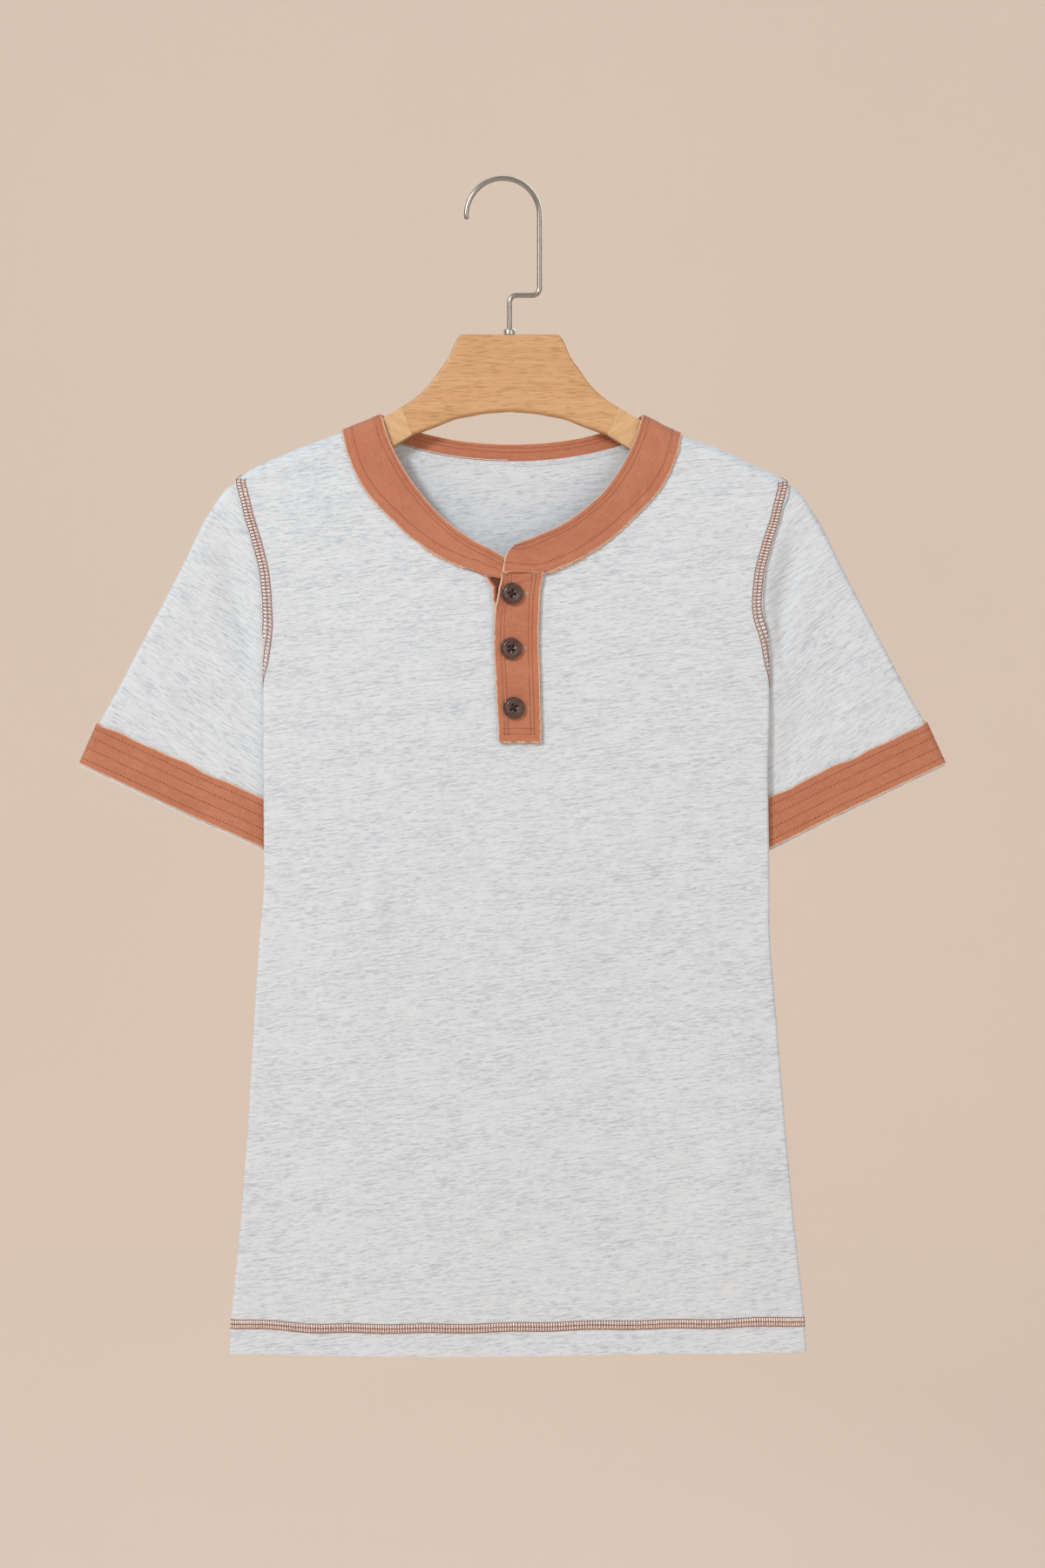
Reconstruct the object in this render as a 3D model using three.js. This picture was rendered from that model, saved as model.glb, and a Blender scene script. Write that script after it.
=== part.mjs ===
import * as THREE from 'three';

// A henley shirt with short sleeves, hung on a flat wooden hanger.
// Millimetres, +Z up, and the front of the shirt faces -Y. The origin is the inside crown of the hook.
// On the cloth, `down` is the distance below that crown, `out` the distance to either side of the
// shirt's centre line in the cut panel, and `drop` the distance along the cloth below the shoulder ridge.
// `hand` is 1 on the +X side and -1 on the other; `side` is -1 on the front and 1 on the back.

// Cloth
const WALL = 1.2;
const GAP = 0.3;
const LAYER = WALL + GAP;
const SHIRT_CENTRE = 6.2;
const LEAN = 4.2;
const LEAN_STARTS = 300;
const RIDGE_RADIUS = 7.2;
const QUARTER_BEND = (RIDGE_RADIUS * Math.PI) / 2;
const FREE_HANG = 50;
const HEM_DOWN = 814.5;

// Underarm fold: the sides are pushed in between the front and the back
const FOLD_RADIUS = 1.7;
const FOLD_ARC = Math.PI * FOLD_RADIUS;
const UNDERARM_DOWN = 408.7;
const UNDERARM_HALF_GAP = 3.2;
const SEAM_CLOSES = 40;
const GUSSET_RISE = 14;
const SIDE_FLATTER = 0.35;
const BODY_HALF_WIDTH = 172;

// Shoulders and armholes
const SHOULDER_TIP_OUT = 191.5;
const SEAM_FORWARD = 3.6;
const FRONT_SEAM_DROP = SEAM_FORWARD + GAP;
const BACK_SEAM_DROP = GAP - SEAM_FORWARD;

// Neck: the band's inner edge is a superellipse, and the jersey is cut 12 mm outside it
const NECK_HALF_WIDTH = 90;
const JERSEY_STEP = 12;
const BAND_WIDTH = 27;
const BAND_WIDTH_FRONT = 22;
const BAND_LOWEST = 273.5;
const BAND_END_LEFT = -3;
const BAND_END_RIGHT = -5.5;
const BAND_RISE = 24;
const BAND_LAYER = LAYER + 0.1;

// Placket
const SLIT = 0.6;
const SLIT_END = 386;
const PLACKET_TOP_START = 274.3;
const PLACKET_TOP_END = 390.2;
const PLACKET_UNDER_START = 266;
const PLACKET_UNDER_END = 385;

// Sleeves
const SLEEVE_END_BEND = 3;
const UNDERARM_BEND = 1.7;
const UNDERARM_SPREAD = 0.09;
const CUFF_BAND_FROM = 1.03;
const CUFF_BAND_TO = 1.95;

// Buttons
const BUTTON_RADIUS = 7.5;
const BUTTON_THICK = 2.4;
const BUTTON_EDGE = 0.5;
const BUTTON_HOLE_RADIUS = 0.9;
const BUTTON_HOLE_SPACING = 1.5;
const BUTTON_GAP = 0.4;

// Hanger
const HANGER_CENTRE = 4.8;
const HANGER_THICK = 12;
const HANGER_EDGE = 4;
const HANGER_TOP = 107.1;
const WIRE_RADIUS = 1.75;
const HOOK_RADIUS = 25.4;
const HOOK_START_ANGLE = 183;
const WIRE_BEND = 5;
const WIRE_SHELF_DOWN = 79.5;
const STEM_X = 4.6;
const FERRULE_RADIUS = 4;
const FERRULE_HEIGHT = 3.6;

// The ridge of the shoulders, on the outside of the jersey
const SHOULDER = [
  { out: 0, down: 158 },
  { out: 60, down: 158.8 },
  { out: 80, down: 160.2 },
  { out: 90.5, down: 163.6 },
  { out: 103, down: 169.8 },
  { out: 117, down: 176.3 },
  { out: 145, down: 185.8 },
  { out: 169.6, down: 196 },
  { out: 182, down: 202.5 },
  { out: 190, down: 208.5 },
  { out: 200, down: 217 },
];

// The armhole, as cut
const ARMHOLE = [
  { down: 209.5, out: 191.5 },
  { down: 233.7, out: 186.3 },
  { down: 253, out: 180.3 },
  { down: 276.5, out: 174.8 },
  { down: 299.5, out: 173.2 },
  { down: 322.4, out: 174.1 },
  { down: 346, out: 177.2 },
  { down: 360, out: 179.5 },
  { down: 374, out: 183 },
  { down: 389, out: 191 },
  { down: 401, out: 206 },
  { down: 408.7, out: 228 },
];

// The side seam, as cut
const SIDE_SEAM = [
  { down: 408.7, out: 228 },
  { down: 814.5, out: 240 },
];

// Where the sides are folded in, on the outside of the jersey
const SIDE_FOLD = [
  { down: 240, out: 212 },
  { down: 270, out: 186 },
  { down: 285, out: 178.2 },
  { down: 299.5, out: 174.3 },
  { down: 322, out: 173.8 },
  { down: 352.7, out: 174.5 },
  { down: 479.8, out: 175.1 },
  { down: 600.8, out: 182.4 },
  { down: 721.8, out: 191.8 },
  { down: 782.3, out: 198.1 },
  { down: 814.5, out: 200.3 },
];

// How much deeper than the hanger's arms each half of the body hangs
const BULGE = [
  { down: 160, depth: 0 },
  { down: 260, depth: 2.6 },
  { down: 340, depth: 3.8 },
  { down: 450, depth: 4 },
  { down: 600, depth: 2.2 },
  { down: 700, depth: 0.6 },
  { down: 814.5, depth: -1.2 },
];

// Soft folds of the body: across is signed, and depth is outward
const BODY_FOLDS = [
  { side: -1, across: -118, lean: 8, from: 430, to: 700, width: 30, depth: 1.1 },
  { side: -1, across: 72, lean: -10, from: 440, to: 730, width: 34, depth: -1 },
  { side: -1, across: -158, lean: -12, from: 520, to: 800, width: 22, depth: -0.9 },
  { side: -1, across: 140, lean: 16, from: 560, to: 860, width: 30, depth: 1.2 },
  { side: -1, across: -30, lean: -30, from: 600, to: 880, width: 36, depth: 1 },
  { side: 1, across: -96, lean: -10, from: 420, to: 720, width: 32, depth: 1.2 },
  { side: 1, across: 20, lean: 10, from: 330, to: 640, width: 36, depth: -1.1 },
  { side: 1, across: 128, lean: 14, from: 460, to: 820, width: 28, depth: 1.3 },
  { side: 1, across: -20, lean: -26, from: 560, to: 880, width: 34, depth: 1 },
];

// The sleeve's edge under the armhole, from the ridge to the underarm, as it lies when folded
const SLEEVE_HEAD = [
  { part: 0, out: 187, down: 208.9 },
  { part: 0.11, out: 181.3, down: 233.7 },
  { part: 0.2, out: 175.3, down: 253 },
  { part: 0.31, out: 169.8, down: 276.5 },
  { part: 0.41, out: 168, down: 299.5 },
  { part: 0.515, out: 167.4, down: 322 },
  { part: 0.62, out: 167.2, down: 346 },
  { part: 0.695, out: 166.8, down: 362 },
  { part: 0.76, out: 163.5, down: 376 },
  { part: 0.84, out: 154, down: 390 },
  { part: 0.92, out: 140, down: 401 },
  { part: 1, out: 123, down: 407.5 },
];

// The sleeve's upper fold, from the shoulder to the cuff band
const SLEEVE_TOP = [
  { part: 0, out: 187, down: 208.9 },
  { part: 0.03, out: 191.5, down: 212.8 },
  { part: 0.051, out: 195.2, down: 214.6 },
  { part: 0.086, out: 200.1, down: 219.4 },
  { part: 0.148, out: 207.2, down: 228.6 },
  { part: 0.216, out: 214.5, down: 239.7 },
  { part: 0.38, out: 228.8, down: 268.4 },
  { part: 0.553, out: 244.5, down: 298.7 },
  { part: 0.727, out: 260.5, down: 328.9 },
  { part: 0.903, out: 276.6, down: 359.2 },
  { part: 1, out: 286.2, down: 376 },
];

// Corners of the cuff: the band's upper line and the sleeve's end
const CUFF = {
  upper: { outer: { out: 286.2, down: 376 }, inner: { out: 143.4, down: 442.7 } },
  lower: { outer: { out: 298.2, down: 405.7 }, inner: { out: 155.5, down: 472.5 } },
};

// Half the sleeve's thickness and the radius of its upper fold, from the armhole (0) to its end (2)
const SLEEVE_DEPTH = [
  { along: 0, half: 8, bend: 5.7 },
  { along: 0.2, half: 5.2, bend: 4.6 },
  { along: 0.5, half: 4.4, bend: 3.6 },
  { along: 1, half: 3.5, bend: SLEEVE_END_BEND },
  { along: 2, half: 3.2, bend: SLEEVE_END_BEND },
];

// Troughs in the sleeves beside the armhole
const SLEEVE_TROUGHS = [
  { fromOut: 205, fromDown: 231, toOut: 180, toDown: 345, width: 9, depth: 1.6 },
  { fromOut: 238, fromDown: 300, toOut: 214, toDown: 400, width: 12, depth: 0.7 },
];

const BUTTONS = [
  { name: 'button_1', across: 0.2, down: 286.8 },
  { name: 'button_2', across: -0.5, down: 324.9 },
  { name: 'button_3', across: 1.2, down: 366 },
];

// Edges of the placket strips, left and right of the centre line
const PLACKET_TOP_EDGES = [
  { down: 274.3, left: -9.4, right: 21 },
  { down: 298, left: -10.2, right: 19.2 },
  { down: 330, left: -10.3, right: 18.3 },
  { down: 358, left: -9.9, right: 18.6 },
  { down: 390.2, left: -8.2, right: 19.6 },
];
const PLACKET_UNDER_EDGES = [
  { down: 266, left: -19.4, right: 13 },
  { down: 278, left: -19, right: 14 },
  { down: 300, left: -12.4, right: 14 },
  { down: 330, left: -9, right: 14 },
  { down: 385, left: -7.5, right: 14 },
];

// Ribs of the hanger, each a line from its upper to its lower edge
const MIDDLE_RIBS = [
  { topOut: 0, top: 107.1, bottomOut: 0, bottom: 160.3 },
  { topOut: 20, top: 107.1, bottomOut: 18, bottom: 161.7 },
  { topOut: 33, top: 107.1, bottomOut: 27, bottom: 163.4 },
  { topOut: 36.4, top: 109.8, bottomOut: 31, bottom: 164.1 },
  { topOut: 42.4, top: 122.8, bottomOut: 37, bottom: 165.3 },
  { topOut: 48.9, top: 131.9, bottomOut: 43, bottom: 167.4 },
  { topOut: 55.5, top: 141.2, bottomOut: 50, bottom: 170.3 },
  { topOut: 64.7, top: 150.3, bottomOut: 58.5, bottom: 173.4 },
  { topOut: 75.2, top: 157.5, bottomOut: 67.5, bottom: 176.7 },
];
const ARM_RIBS = [
  { topOut: 75.6, top: 157.8, bottomOut: 67.9, bottom: 177 },
  { topOut: 86, top: 163.9, bottomOut: 78, bottom: 183.2 },
  { topOut: 100, top: 171.7, bottomOut: 91.5, bottom: 191.6 },
  { topOut: 118, top: 180.7, bottomOut: 110, bottom: 200.6 },
  { topOut: 145, top: 190.2, bottomOut: 137.5, bottom: 210.3 },
  { topOut: 168, top: 199.7, bottomOut: 160, bottom: 219.2 },
  { topOut: 174, top: 203.7, bottomOut: 167, bottom: 220.5 },
  { topOut: 176.5, top: 208.4, bottomOut: 172.5, bottom: 218 },
];

const MATERIALS = {
  jersey: new THREE.MeshStandardMaterial({ color: 0xdadde2, roughness: 0.92, metalness: 0 }),
  woven: new THREE.MeshStandardMaterial({ color: 0xbd6f4d, roughness: 0.88, metalness: 0 }),
  button: new THREE.MeshStandardMaterial({ color: 0x4a3228, roughness: 0.38, metalness: 0 }),
  wood: new THREE.MeshStandardMaterial({ color: 0xd9a765, roughness: 0.5, metalness: 0 }),
  paleWood: new THREE.MeshStandardMaterial({ color: 0xe6c391, roughness: 0.5, metalness: 0 }),
  steel: new THREE.MeshStandardMaterial({ color: 0xa9a6a2, roughness: 0.28, metalness: 1 }),
};

function clamp(value, low, high) {
  return Math.min(high, Math.max(low, value));
}

function mix(a, b, share) {
  return a + (b - a) * share;
}

function smooth(value) {
  const t = clamp(value, 0, 1);
  return t * t * (3 - 2 * t);
}

// The value of `column` where the `by` column is `at`, on a smooth curve through the table's rows
function look(table, by, column, at) {
  const last = table.length - 1;
  if (at <= table[0][by]) return table[0][column];
  if (at >= table[last][by]) return table[last][column];
  let row = 0;
  while (table[row + 1][by] < at) row += 1;
  const slope = (i) => (table[i + 1][column] - table[i][column]) / (table[i + 1][by] - table[i][by]);
  const tangent = (i) => {
    if (i === 0) return slope(0);
    if (i === last) return slope(last - 1);
    const before = slope(i - 1);
    const after = slope(i);
    return before * after <= 0 ? 0 : (2 * before * after) / (before + after);
  };
  const step = table[row + 1][by] - table[row][by];
  const t = (at - table[row][by]) / step;
  const rise = table[row + 1][column] - table[row][column];
  const ease = t * t * (3 - 2 * t);
  const bend = tangent(row) * step * t * (1 - t) * (1 - t);
  return table[row][column] + rise * ease + bend - tangent(row + 1) * step * t * t * (1 - t);
}

// Body surface

function ridgeDown(out) {
  return look(SHOULDER, 'out', 'down', out) + WALL * 0.55;
}

function dropAt(out, down) {
  return down - ridgeDown(out) - RIDGE_RADIUS + QUARTER_BEND;
}

function downAt(out, drop) {
  return ridgeDown(out) + RIDGE_RADIUS - QUARTER_BEND + drop;
}

function armholeOut(down) {
  return look(ARMHOLE, 'down', 'out', down);
}

function foldEdge(down) {
  return look(SIDE_FOLD, 'down', 'out', down) - WALL / 2 - FOLD_RADIUS;
}

function bodyFolds(across, down, side) {
  let depth = 0;
  for (const fold of BODY_FOLDS) {
    const part = (down - fold.from) / (fold.to - fold.from);
    if (fold.side !== side || part <= 0 || part >= 1) continue;
    const off = (across - fold.across - fold.lean * part) / fold.width;
    depth += fold.depth * Math.sin(Math.PI * part) ** 2 * Math.exp(-off * off);
  }
  return depth;
}

function halfDepth(across, down, side) {
  const out = Math.abs(across);
  const hang = smooth((down - ridgeDown(out) - RIDGE_RADIUS) / FREE_HANG);
  const flatter = 1 - SIDE_FLATTER * Math.min(1, out / BODY_HALF_WIDTH) ** 2;
  return RIDGE_RADIUS + hang * (look(BULGE, 'down', 'depth', down) * flatter + bodyFolds(across, down, side));
}

// The side seam's place once the sides are folded in
function seamOut(down) {
  const cut = look(SIDE_SEAM, 'down', 'out', down);
  return 2 * foldEdge(Math.max(down, UNDERARM_DOWN)) + FOLD_ARC - cut;
}

// Half the gap between the two layers that are folded in
function gussetDepth(hand, out, down, side) {
  const outer = halfDepth(hand * foldEdge(down), down, side) - 2 * FOLD_RADIUS;
  const seam = mix(UNDERARM_HALF_GAP, LAYER / 2, smooth((down - UNDERARM_DOWN) / SEAM_CLOSES));
  return mix(seam, outer, smooth((out - seamOut(down)) / GUSSET_RISE));
}

// The middle of the body's cloth
function bodyMiddle(across, drop, side) {
  const out = Math.abs(across);
  const hand = across < 0 ? -1 : 1;
  const turn = drop / RIDGE_RADIUS;
  if (turn < Math.PI / 2) {
    const over = ridgeDown(out) + RIDGE_RADIUS * (1 - Math.cos(turn));
    return place(across, over, side * RIDGE_RADIUS * Math.sin(turn));
  }
  const down = downAt(out, drop);
  const edge = foldEdge(down);
  if (out <= edge) return place(across, down, side * halfDepth(across, down, side));
  const past = out - edge;
  if (past < FOLD_ARC) {
    const curl = past / FOLD_RADIUS;
    const depth = halfDepth(hand * edge, down, side) - FOLD_RADIUS * (1 - Math.cos(curl));
    return place(hand * (edge + FOLD_RADIUS * Math.sin(curl)), down, side * depth);
  }
  const folded = edge - (past - FOLD_ARC);
  return place(hand * folded, down, side * gussetDepth(hand, folded, down, side));
}

function place(across, down, y) {
  const lean = LEAN * smooth((down - LEAN_STARTS) / (HEM_DOWN - LEAN_STARTS));
  return new THREE.Vector3(SHIRT_CENTRE + lean + across, y, -down);
}

// A point `lift` outside the body's cloth
function onBody(across, drop, side, lift) {
  const step = 0.4;
  const here = bodyMiddle(across, drop, side);
  const sideways = bodyMiddle(across + step, drop, side).sub(bodyMiddle(across - step, drop, side));
  const downward = bodyMiddle(across, drop + step, side).sub(bodyMiddle(across, drop - step, side));
  const normal = sideways.cross(downward).multiplyScalar(side).normalize();
  return here.addScaledVector(normal, lift);
}

// Solids from sheets of cloth

// Outward normals at the points of a sheet of four-sided faces
function sheetNormals(points, faces) {
  const normals = points.map(() => new THREE.Vector3());
  for (const [a, b, c, d] of faces) {
    const across = new THREE.Vector3().subVectors(points[c], points[a]);
    const other = new THREE.Vector3().subVectors(points[d], points[b]);
    const normal = across.cross(other);
    for (const corner of [a, b, c, d]) normals[corner].add(normal);
  }
  return normals.map((normal) => normal.normalize());
}

function solid(points, triangles) {
  const geometry = new THREE.BufferGeometry();
  geometry.setAttribute('position', new THREE.Float32BufferAttribute(points.flatMap((p) => p.toArray()), 3));
  geometry.setIndex(triangles);
  geometry.computeVertexNormals();
  return geometry;
}

// A closed wall around the sheet, with its rim closed along every free edge
function sheetSolid(points, faces) {
  const normals = sheetNormals(points, faces);
  const count = points.length;
  const outer = points.map((p, i) => p.clone().addScaledVector(normals[i], WALL / 2));
  const inner = points.map((p, i) => p.clone().addScaledVector(normals[i], -WALL / 2));
  const triangles = [];
  const edges = new Map();
  for (const [a, b, c, d] of faces) {
    triangles.push(a, b, c, a, c, d);
    triangles.push(a + count, c + count, b + count, a + count, d + count, c + count);
    for (const [from, to] of [[a, b], [b, c], [c, d], [d, a]]) {
      const back = `${to}_${from}`;
      if (edges.has(back)) edges.delete(back);
      else edges.set(`${from}_${to}`, [from, to]);
    }
  }
  for (const [from, to] of edges.values()) {
    triangles.push(from, from + count, to + count, from, to + count, to);
  }
  return solid([...outer, ...inner], triangles);
}

// Faces of a grid of point numbers, turned over where `flip` is set
function gridFaces(grid, flip) {
  const faces = [];
  for (let row = 0; row + 1 < grid.length; row += 1) {
    for (let column = 0; column + 1 < grid[row].length; column += 1) {
      const face = [
        grid[row][column],
        grid[row][column + 1],
        grid[row + 1][column + 1],
        grid[row + 1][column],
      ];
      faces.push(flip ? face.reverse() : face);
    }
  }
  return faces;
}

function numberGrid(rows, points) {
  return rows.map((row) => row.map((point) => points.push(point) - 1));
}

function stripSolid(rows, flip) {
  const points = [];
  const grid = numberGrid(rows, points);
  return sheetSolid(points, gridFaces(grid, flip));
}

// Neck curves

const NECK = {
  front: { side: -1, depth: 105.5, power: 1.6 },
  back: { side: 1, depth: 27.5, power: 1.87 },
};

// A point `offset` outside the band's inner edge; the angle is 0 on the ridge and a quarter turn at the centre
function neckPoint(neck, angle, offset) {
  const rim = (a) => {
    const turn = clamp(a, 0, Math.PI / 2);
    return {
      out: NECK_HALF_WIDTH * Math.cos(turn) ** (2 / neck.power),
      drop: neck.depth * Math.sin(turn) ** (2 / neck.power),
    };
  };
  const step = 0.02;
  const before = rim(angle - step);
  const after = rim(angle + step);
  const here = rim(angle);
  const length = Math.hypot(after.out - before.out, after.drop - before.drop);
  const atCentre = Math.PI / 2 - angle < step;
  const outward = atCentre ? 0 : (after.drop - before.drop) / length;
  const downward = atCentre ? 1 : (before.out - after.out) / length;
  return { out: here.out + offset * outward, drop: here.drop + offset * downward };
}

function neckAtDrop(neck, drop, offset) {
  let low = 0;
  let high = Math.PI / 2;
  for (let pass = 0; pass < 40; pass += 1) {
    const middle = (low + high) / 2;
    if (neckPoint(neck, middle, offset).drop < drop) low = middle;
    else high = middle;
  }
  return { out: neckPoint(neck, low, offset).out, drop };
}

// Front and back panels

// Each row runs from the centre, slit or neck to the side seam or armhole
function panelRows(neck, seamDrop, strapAngles, bendDrops, outerLevel) {
  const rows = [];
  const lowerRows = 11;
  const middleRows = 7;
  const neckCentre = neckPoint(neck, Math.PI / 2, JERSEY_STEP);
  const neckDown = downAt(0, neckCentre.drop);
  for (let row = 0; row < lowerRows; row += 1) {
    const down = mix(HEM_DOWN, UNDERARM_DOWN, row / lowerRows);
    rows.push({ inner: { out: 0, down }, outer: { out: look(SIDE_SEAM, 'down', 'out', down), down }, level: 1 });
  }
  for (let row = 0; row <= middleRows; row += 1) {
    const down = mix(UNDERARM_DOWN, neckDown, row / middleRows);
    const outerDown = mix(UNDERARM_DOWN, outerLevel, (row / middleRows) ** 1.5);
    rows.push({ inner: { out: 0, down }, outer: { out: armholeOut(outerDown), down: outerDown }, level: 1 });
  }
  const ridge = SHOULDER_TIP_OUT;
  strapAngles.forEach((degrees, index) => {
    const share = (index + 1) / (strapAngles.length + 1);
    const inner = neckPoint(neck, THREE.MathUtils.degToRad(degrees), JERSEY_STEP);
    const down = mix(outerLevel, downAt(ridge, bendDrops[0]), share);
    rows.push({
      inner: { out: inner.out, down: downAt(inner.out, inner.drop) },
      outer: { out: armholeOut(down), down },
      level: 1 - share,
    });
  });
  for (const drop of [...bendDrops, seamDrop]) {
    const inner = neckAtDrop(neck, Math.max(drop, 0), JERSEY_STEP);
    rows.push({
      inner: { out: inner.out, down: downAt(inner.out, drop) },
      outer: { out: ridge, down: downAt(ridge, drop) },
      level: 0,
    });
  }
  return rows;
}

function panelColumns(row) {
  const edge = foldEdge(row.outer.down);
  const spread = 5 + 20 * smooth((310 - row.outer.down) / 60);
  const turnStart = Math.min(edge, row.outer.out - spread);
  const turnEnd = Math.min(edge + FOLD_ARC, row.outer.out - spread / 5);
  const rise = Math.max(mix(turnEnd, row.outer.out, 0.5), row.outer.out - GUSSET_RISE);
  const columns = [];
  const flatColumns = 7;
  const turnColumns = 4;
  for (let k = 0; k < flatColumns; k += 1) columns.push(mix(row.inner.out, turnStart, k / flatColumns));
  for (let k = 0; k <= turnColumns; k += 1) columns.push(mix(turnStart, turnEnd, k / turnColumns));
  columns.push(rise, row.outer.out);
  return columns;
}

function rowDrop(row, out) {
  const share = (out - row.inner.out) / (row.outer.out - row.inner.out);
  const level = dropAt(out, mix(row.inner.down, row.outer.down, share));
  const innerDrop = dropAt(row.inner.out, row.inner.down);
  const outerDrop = dropAt(row.outer.out, row.outer.down);
  return mix(mix(innerDrop, outerDrop, share), level, row.level);
}

function panelSolid(neck, rows, slitEnd) {
  const points = [];
  const faces = [];
  const centreNumbers = new Map();
  for (const hand of [1, -1]) {
    const grid = rows.map((row, number) => {
      const slit = row.inner.out === 0 && row.inner.down < slitEnd;
      const start = slit ? { ...row, inner: { out: SLIT / 2, down: row.inner.down } } : row;
      return panelColumns(start).map((out, column) => {
        const shared = column === 0 && start.inner.out === 0;
        if (shared && centreNumbers.has(number)) return centreNumbers.get(number);
        points.push(bodyMiddle(hand * out, rowDrop(start, out), neck.side));
        if (shared) centreNumbers.set(number, points.length - 1);
        return points.length - 1;
      });
    });
    faces.push(...gridFaces(grid, hand * neck.side > 0));
  }
  return sheetSolid(points, faces);
}

function frontPanel() {
  const rows = panelRows(NECK.front, FRONT_SEAM_DROP, [78, 64, 50, 36, 24, 14], [11.5, 7.5], 272);
  return panelSolid(NECK.front, rows, SLIT_END);
}

function backPanel() {
  const rows = panelRows(NECK.back, BACK_SEAM_DROP, [72, 52, 34], [11.5, 7.5, 3.75, 0], 240);
  return panelSolid(NECK.back, rows, 0);
}

// Neckband

function bandRow(neck, hand, at, lift) {
  const width = mix(BAND_WIDTH_FRONT, BAND_WIDTH, neck === NECK.front ? Math.cos(at.angle ?? 0) : 1);
  return [0, 0.5, 1].map((share) => {
    const offset = share * width;
    const point = at.angle === undefined ? neckAtDrop(neck, at.drop, offset) : neckPoint(neck, at.angle, offset);
    const across = at.across ?? hand * point.out;
    const lowest = dropAt(Math.abs(across), BAND_LOWEST);
    const drop = neck === NECK.front ? Math.min(point.drop, lowest) : point.drop;
    return onBody(across, drop, neck.side, lift(across));
  });
}

function neckband() {
  const frontAngles = [80, 71, 62, 53, 44, 35, 26, 17];
  const backAngles = [30, 44, 58, 72, 84];
  const bends = [11.5, 7.5, 3.75, 0];
  const radians = THREE.MathUtils.degToRad;
  // The ends lie on the placket, and the right one on the left one's end too
  const frontLift = (hand) => (across) => {
    const overPlacket = 1 - smooth((Math.abs(across) - 22) / BAND_RISE);
    const overEnd = hand > 0 ? 1 - smooth((across - 4) / BAND_RISE) : 0;
    return BAND_LAYER + LAYER * (overPlacket + overEnd);
  };
  const half = (hand) => {
    const end = hand > 0 ? BAND_END_RIGHT : BAND_END_LEFT;
    const rows = [
      bandRow(NECK.front, hand, { angle: Math.PI / 2, across: end }, frontLift(hand)),
      ...frontAngles.map((angle) => bandRow(NECK.front, hand, { angle: radians(angle) }, frontLift(hand))),
      ...bends.map((drop) => bandRow(NECK.front, hand, { drop }, () => BAND_LAYER)),
      ...bends.slice(0, -1).reverse().map((drop) => bandRow(NECK.back, hand, { drop }, () => BAND_LAYER)),
      ...backAngles.map((angle) => bandRow(NECK.back, hand, { angle: radians(angle) }, () => BAND_LAYER)),
    ];
    return rows;
  };
  const centreBack = bandRow(NECK.back, 1, { angle: Math.PI / 2 }, () => BAND_LAYER);
  return stripSolid([...half(-1), centreBack, ...half(1).reverse()], false);
}

// Placket strips

function placketStrip(edges, from, to, lift) {
  const rowCount = 8;
  const rows = [];
  for (let row = 0; row <= rowCount; row += 1) {
    const down = mix(from, to, row / rowCount);
    const left = look(edges, 'down', 'left', down);
    const right = look(edges, 'down', 'right', down);
    rows.push([0, 0.5, 1].map((share) => {
      const across = mix(left, right, share);
      return onBody(across, dropAt(Math.abs(across), down), -1, lift);
    }));
  }
  return stripSolid(rows, true);
}

// Sleeves

// The most half-depth that cloth lying inside the body may have there
function roomUnderBody(hand, out, down, side) {
  const edge = foldEdge(down);
  const curl = clamp((armholeOut(down) - edge) / FOLD_RADIUS, 0, Math.PI);
  const inside = Math.min(out, edge);
  let room = halfDepth(hand * inside, down, side) - FOLD_RADIUS * (1 - Math.cos(curl));
  if (curl >= Math.PI) room = Math.min(room, gussetDepth(hand, inside, down, side));
  const clearOf = edge + FOLD_RADIUS + LAYER;
  return room - LAYER + 0.35 * Math.max(0, out - clearOf);
}

function sleevePlace(along, part) {
  const straight = (a, b, share) => ({ out: mix(a.out, b.out, share), down: mix(a.down, b.down, share) });
  const upper = straight(CUFF.upper.outer, CUFF.upper.inner, part);
  if (along >= 1) return straight(upper, straight(CUFF.lower.outer, CUFF.lower.inner, part), along - 1);
  const at = (table, share) => ({ out: look(table, 'part', 'out', share), down: look(table, 'part', 'down', share) });
  const head = at(SLEEVE_HEAD, part);
  const top = at(SLEEVE_TOP, along);
  const shoulder = SLEEVE_HEAD[0];
  const underarm = SLEEVE_HEAD[SLEEVE_HEAD.length - 1];
  const bottom = straight(underarm, CUFF.upper.inner, along);
  const between = (axis) =>
    mix(head[axis], upper[axis], along) +
    mix(top[axis], bottom[axis], part) -
    mix(
      mix(shoulder[axis], CUFF.upper.outer[axis], along),
      mix(underarm[axis], CUFF.upper.inner[axis], along),
      part,
    );
  return { out: between('out'), down: between('down') };
}

function sleeveTroughs(out, down) {
  let depth = 0;
  for (const trough of SLEEVE_TROUGHS) {
    const runOut = trough.toOut - trough.fromOut;
    const runDown = trough.toDown - trough.fromDown;
    const length = Math.hypot(runOut, runDown);
    const part = ((out - trough.fromOut) * runOut + (down - trough.fromDown) * runDown) / length ** 2;
    const off = ((out - trough.fromOut) * runDown - (down - trough.fromDown) * runOut) / length / trough.width;
    depth += trough.depth * smooth(part * 3) * smooth((1 - part) * 3) * Math.exp(-off * off);
  }
  return depth;
}

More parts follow.
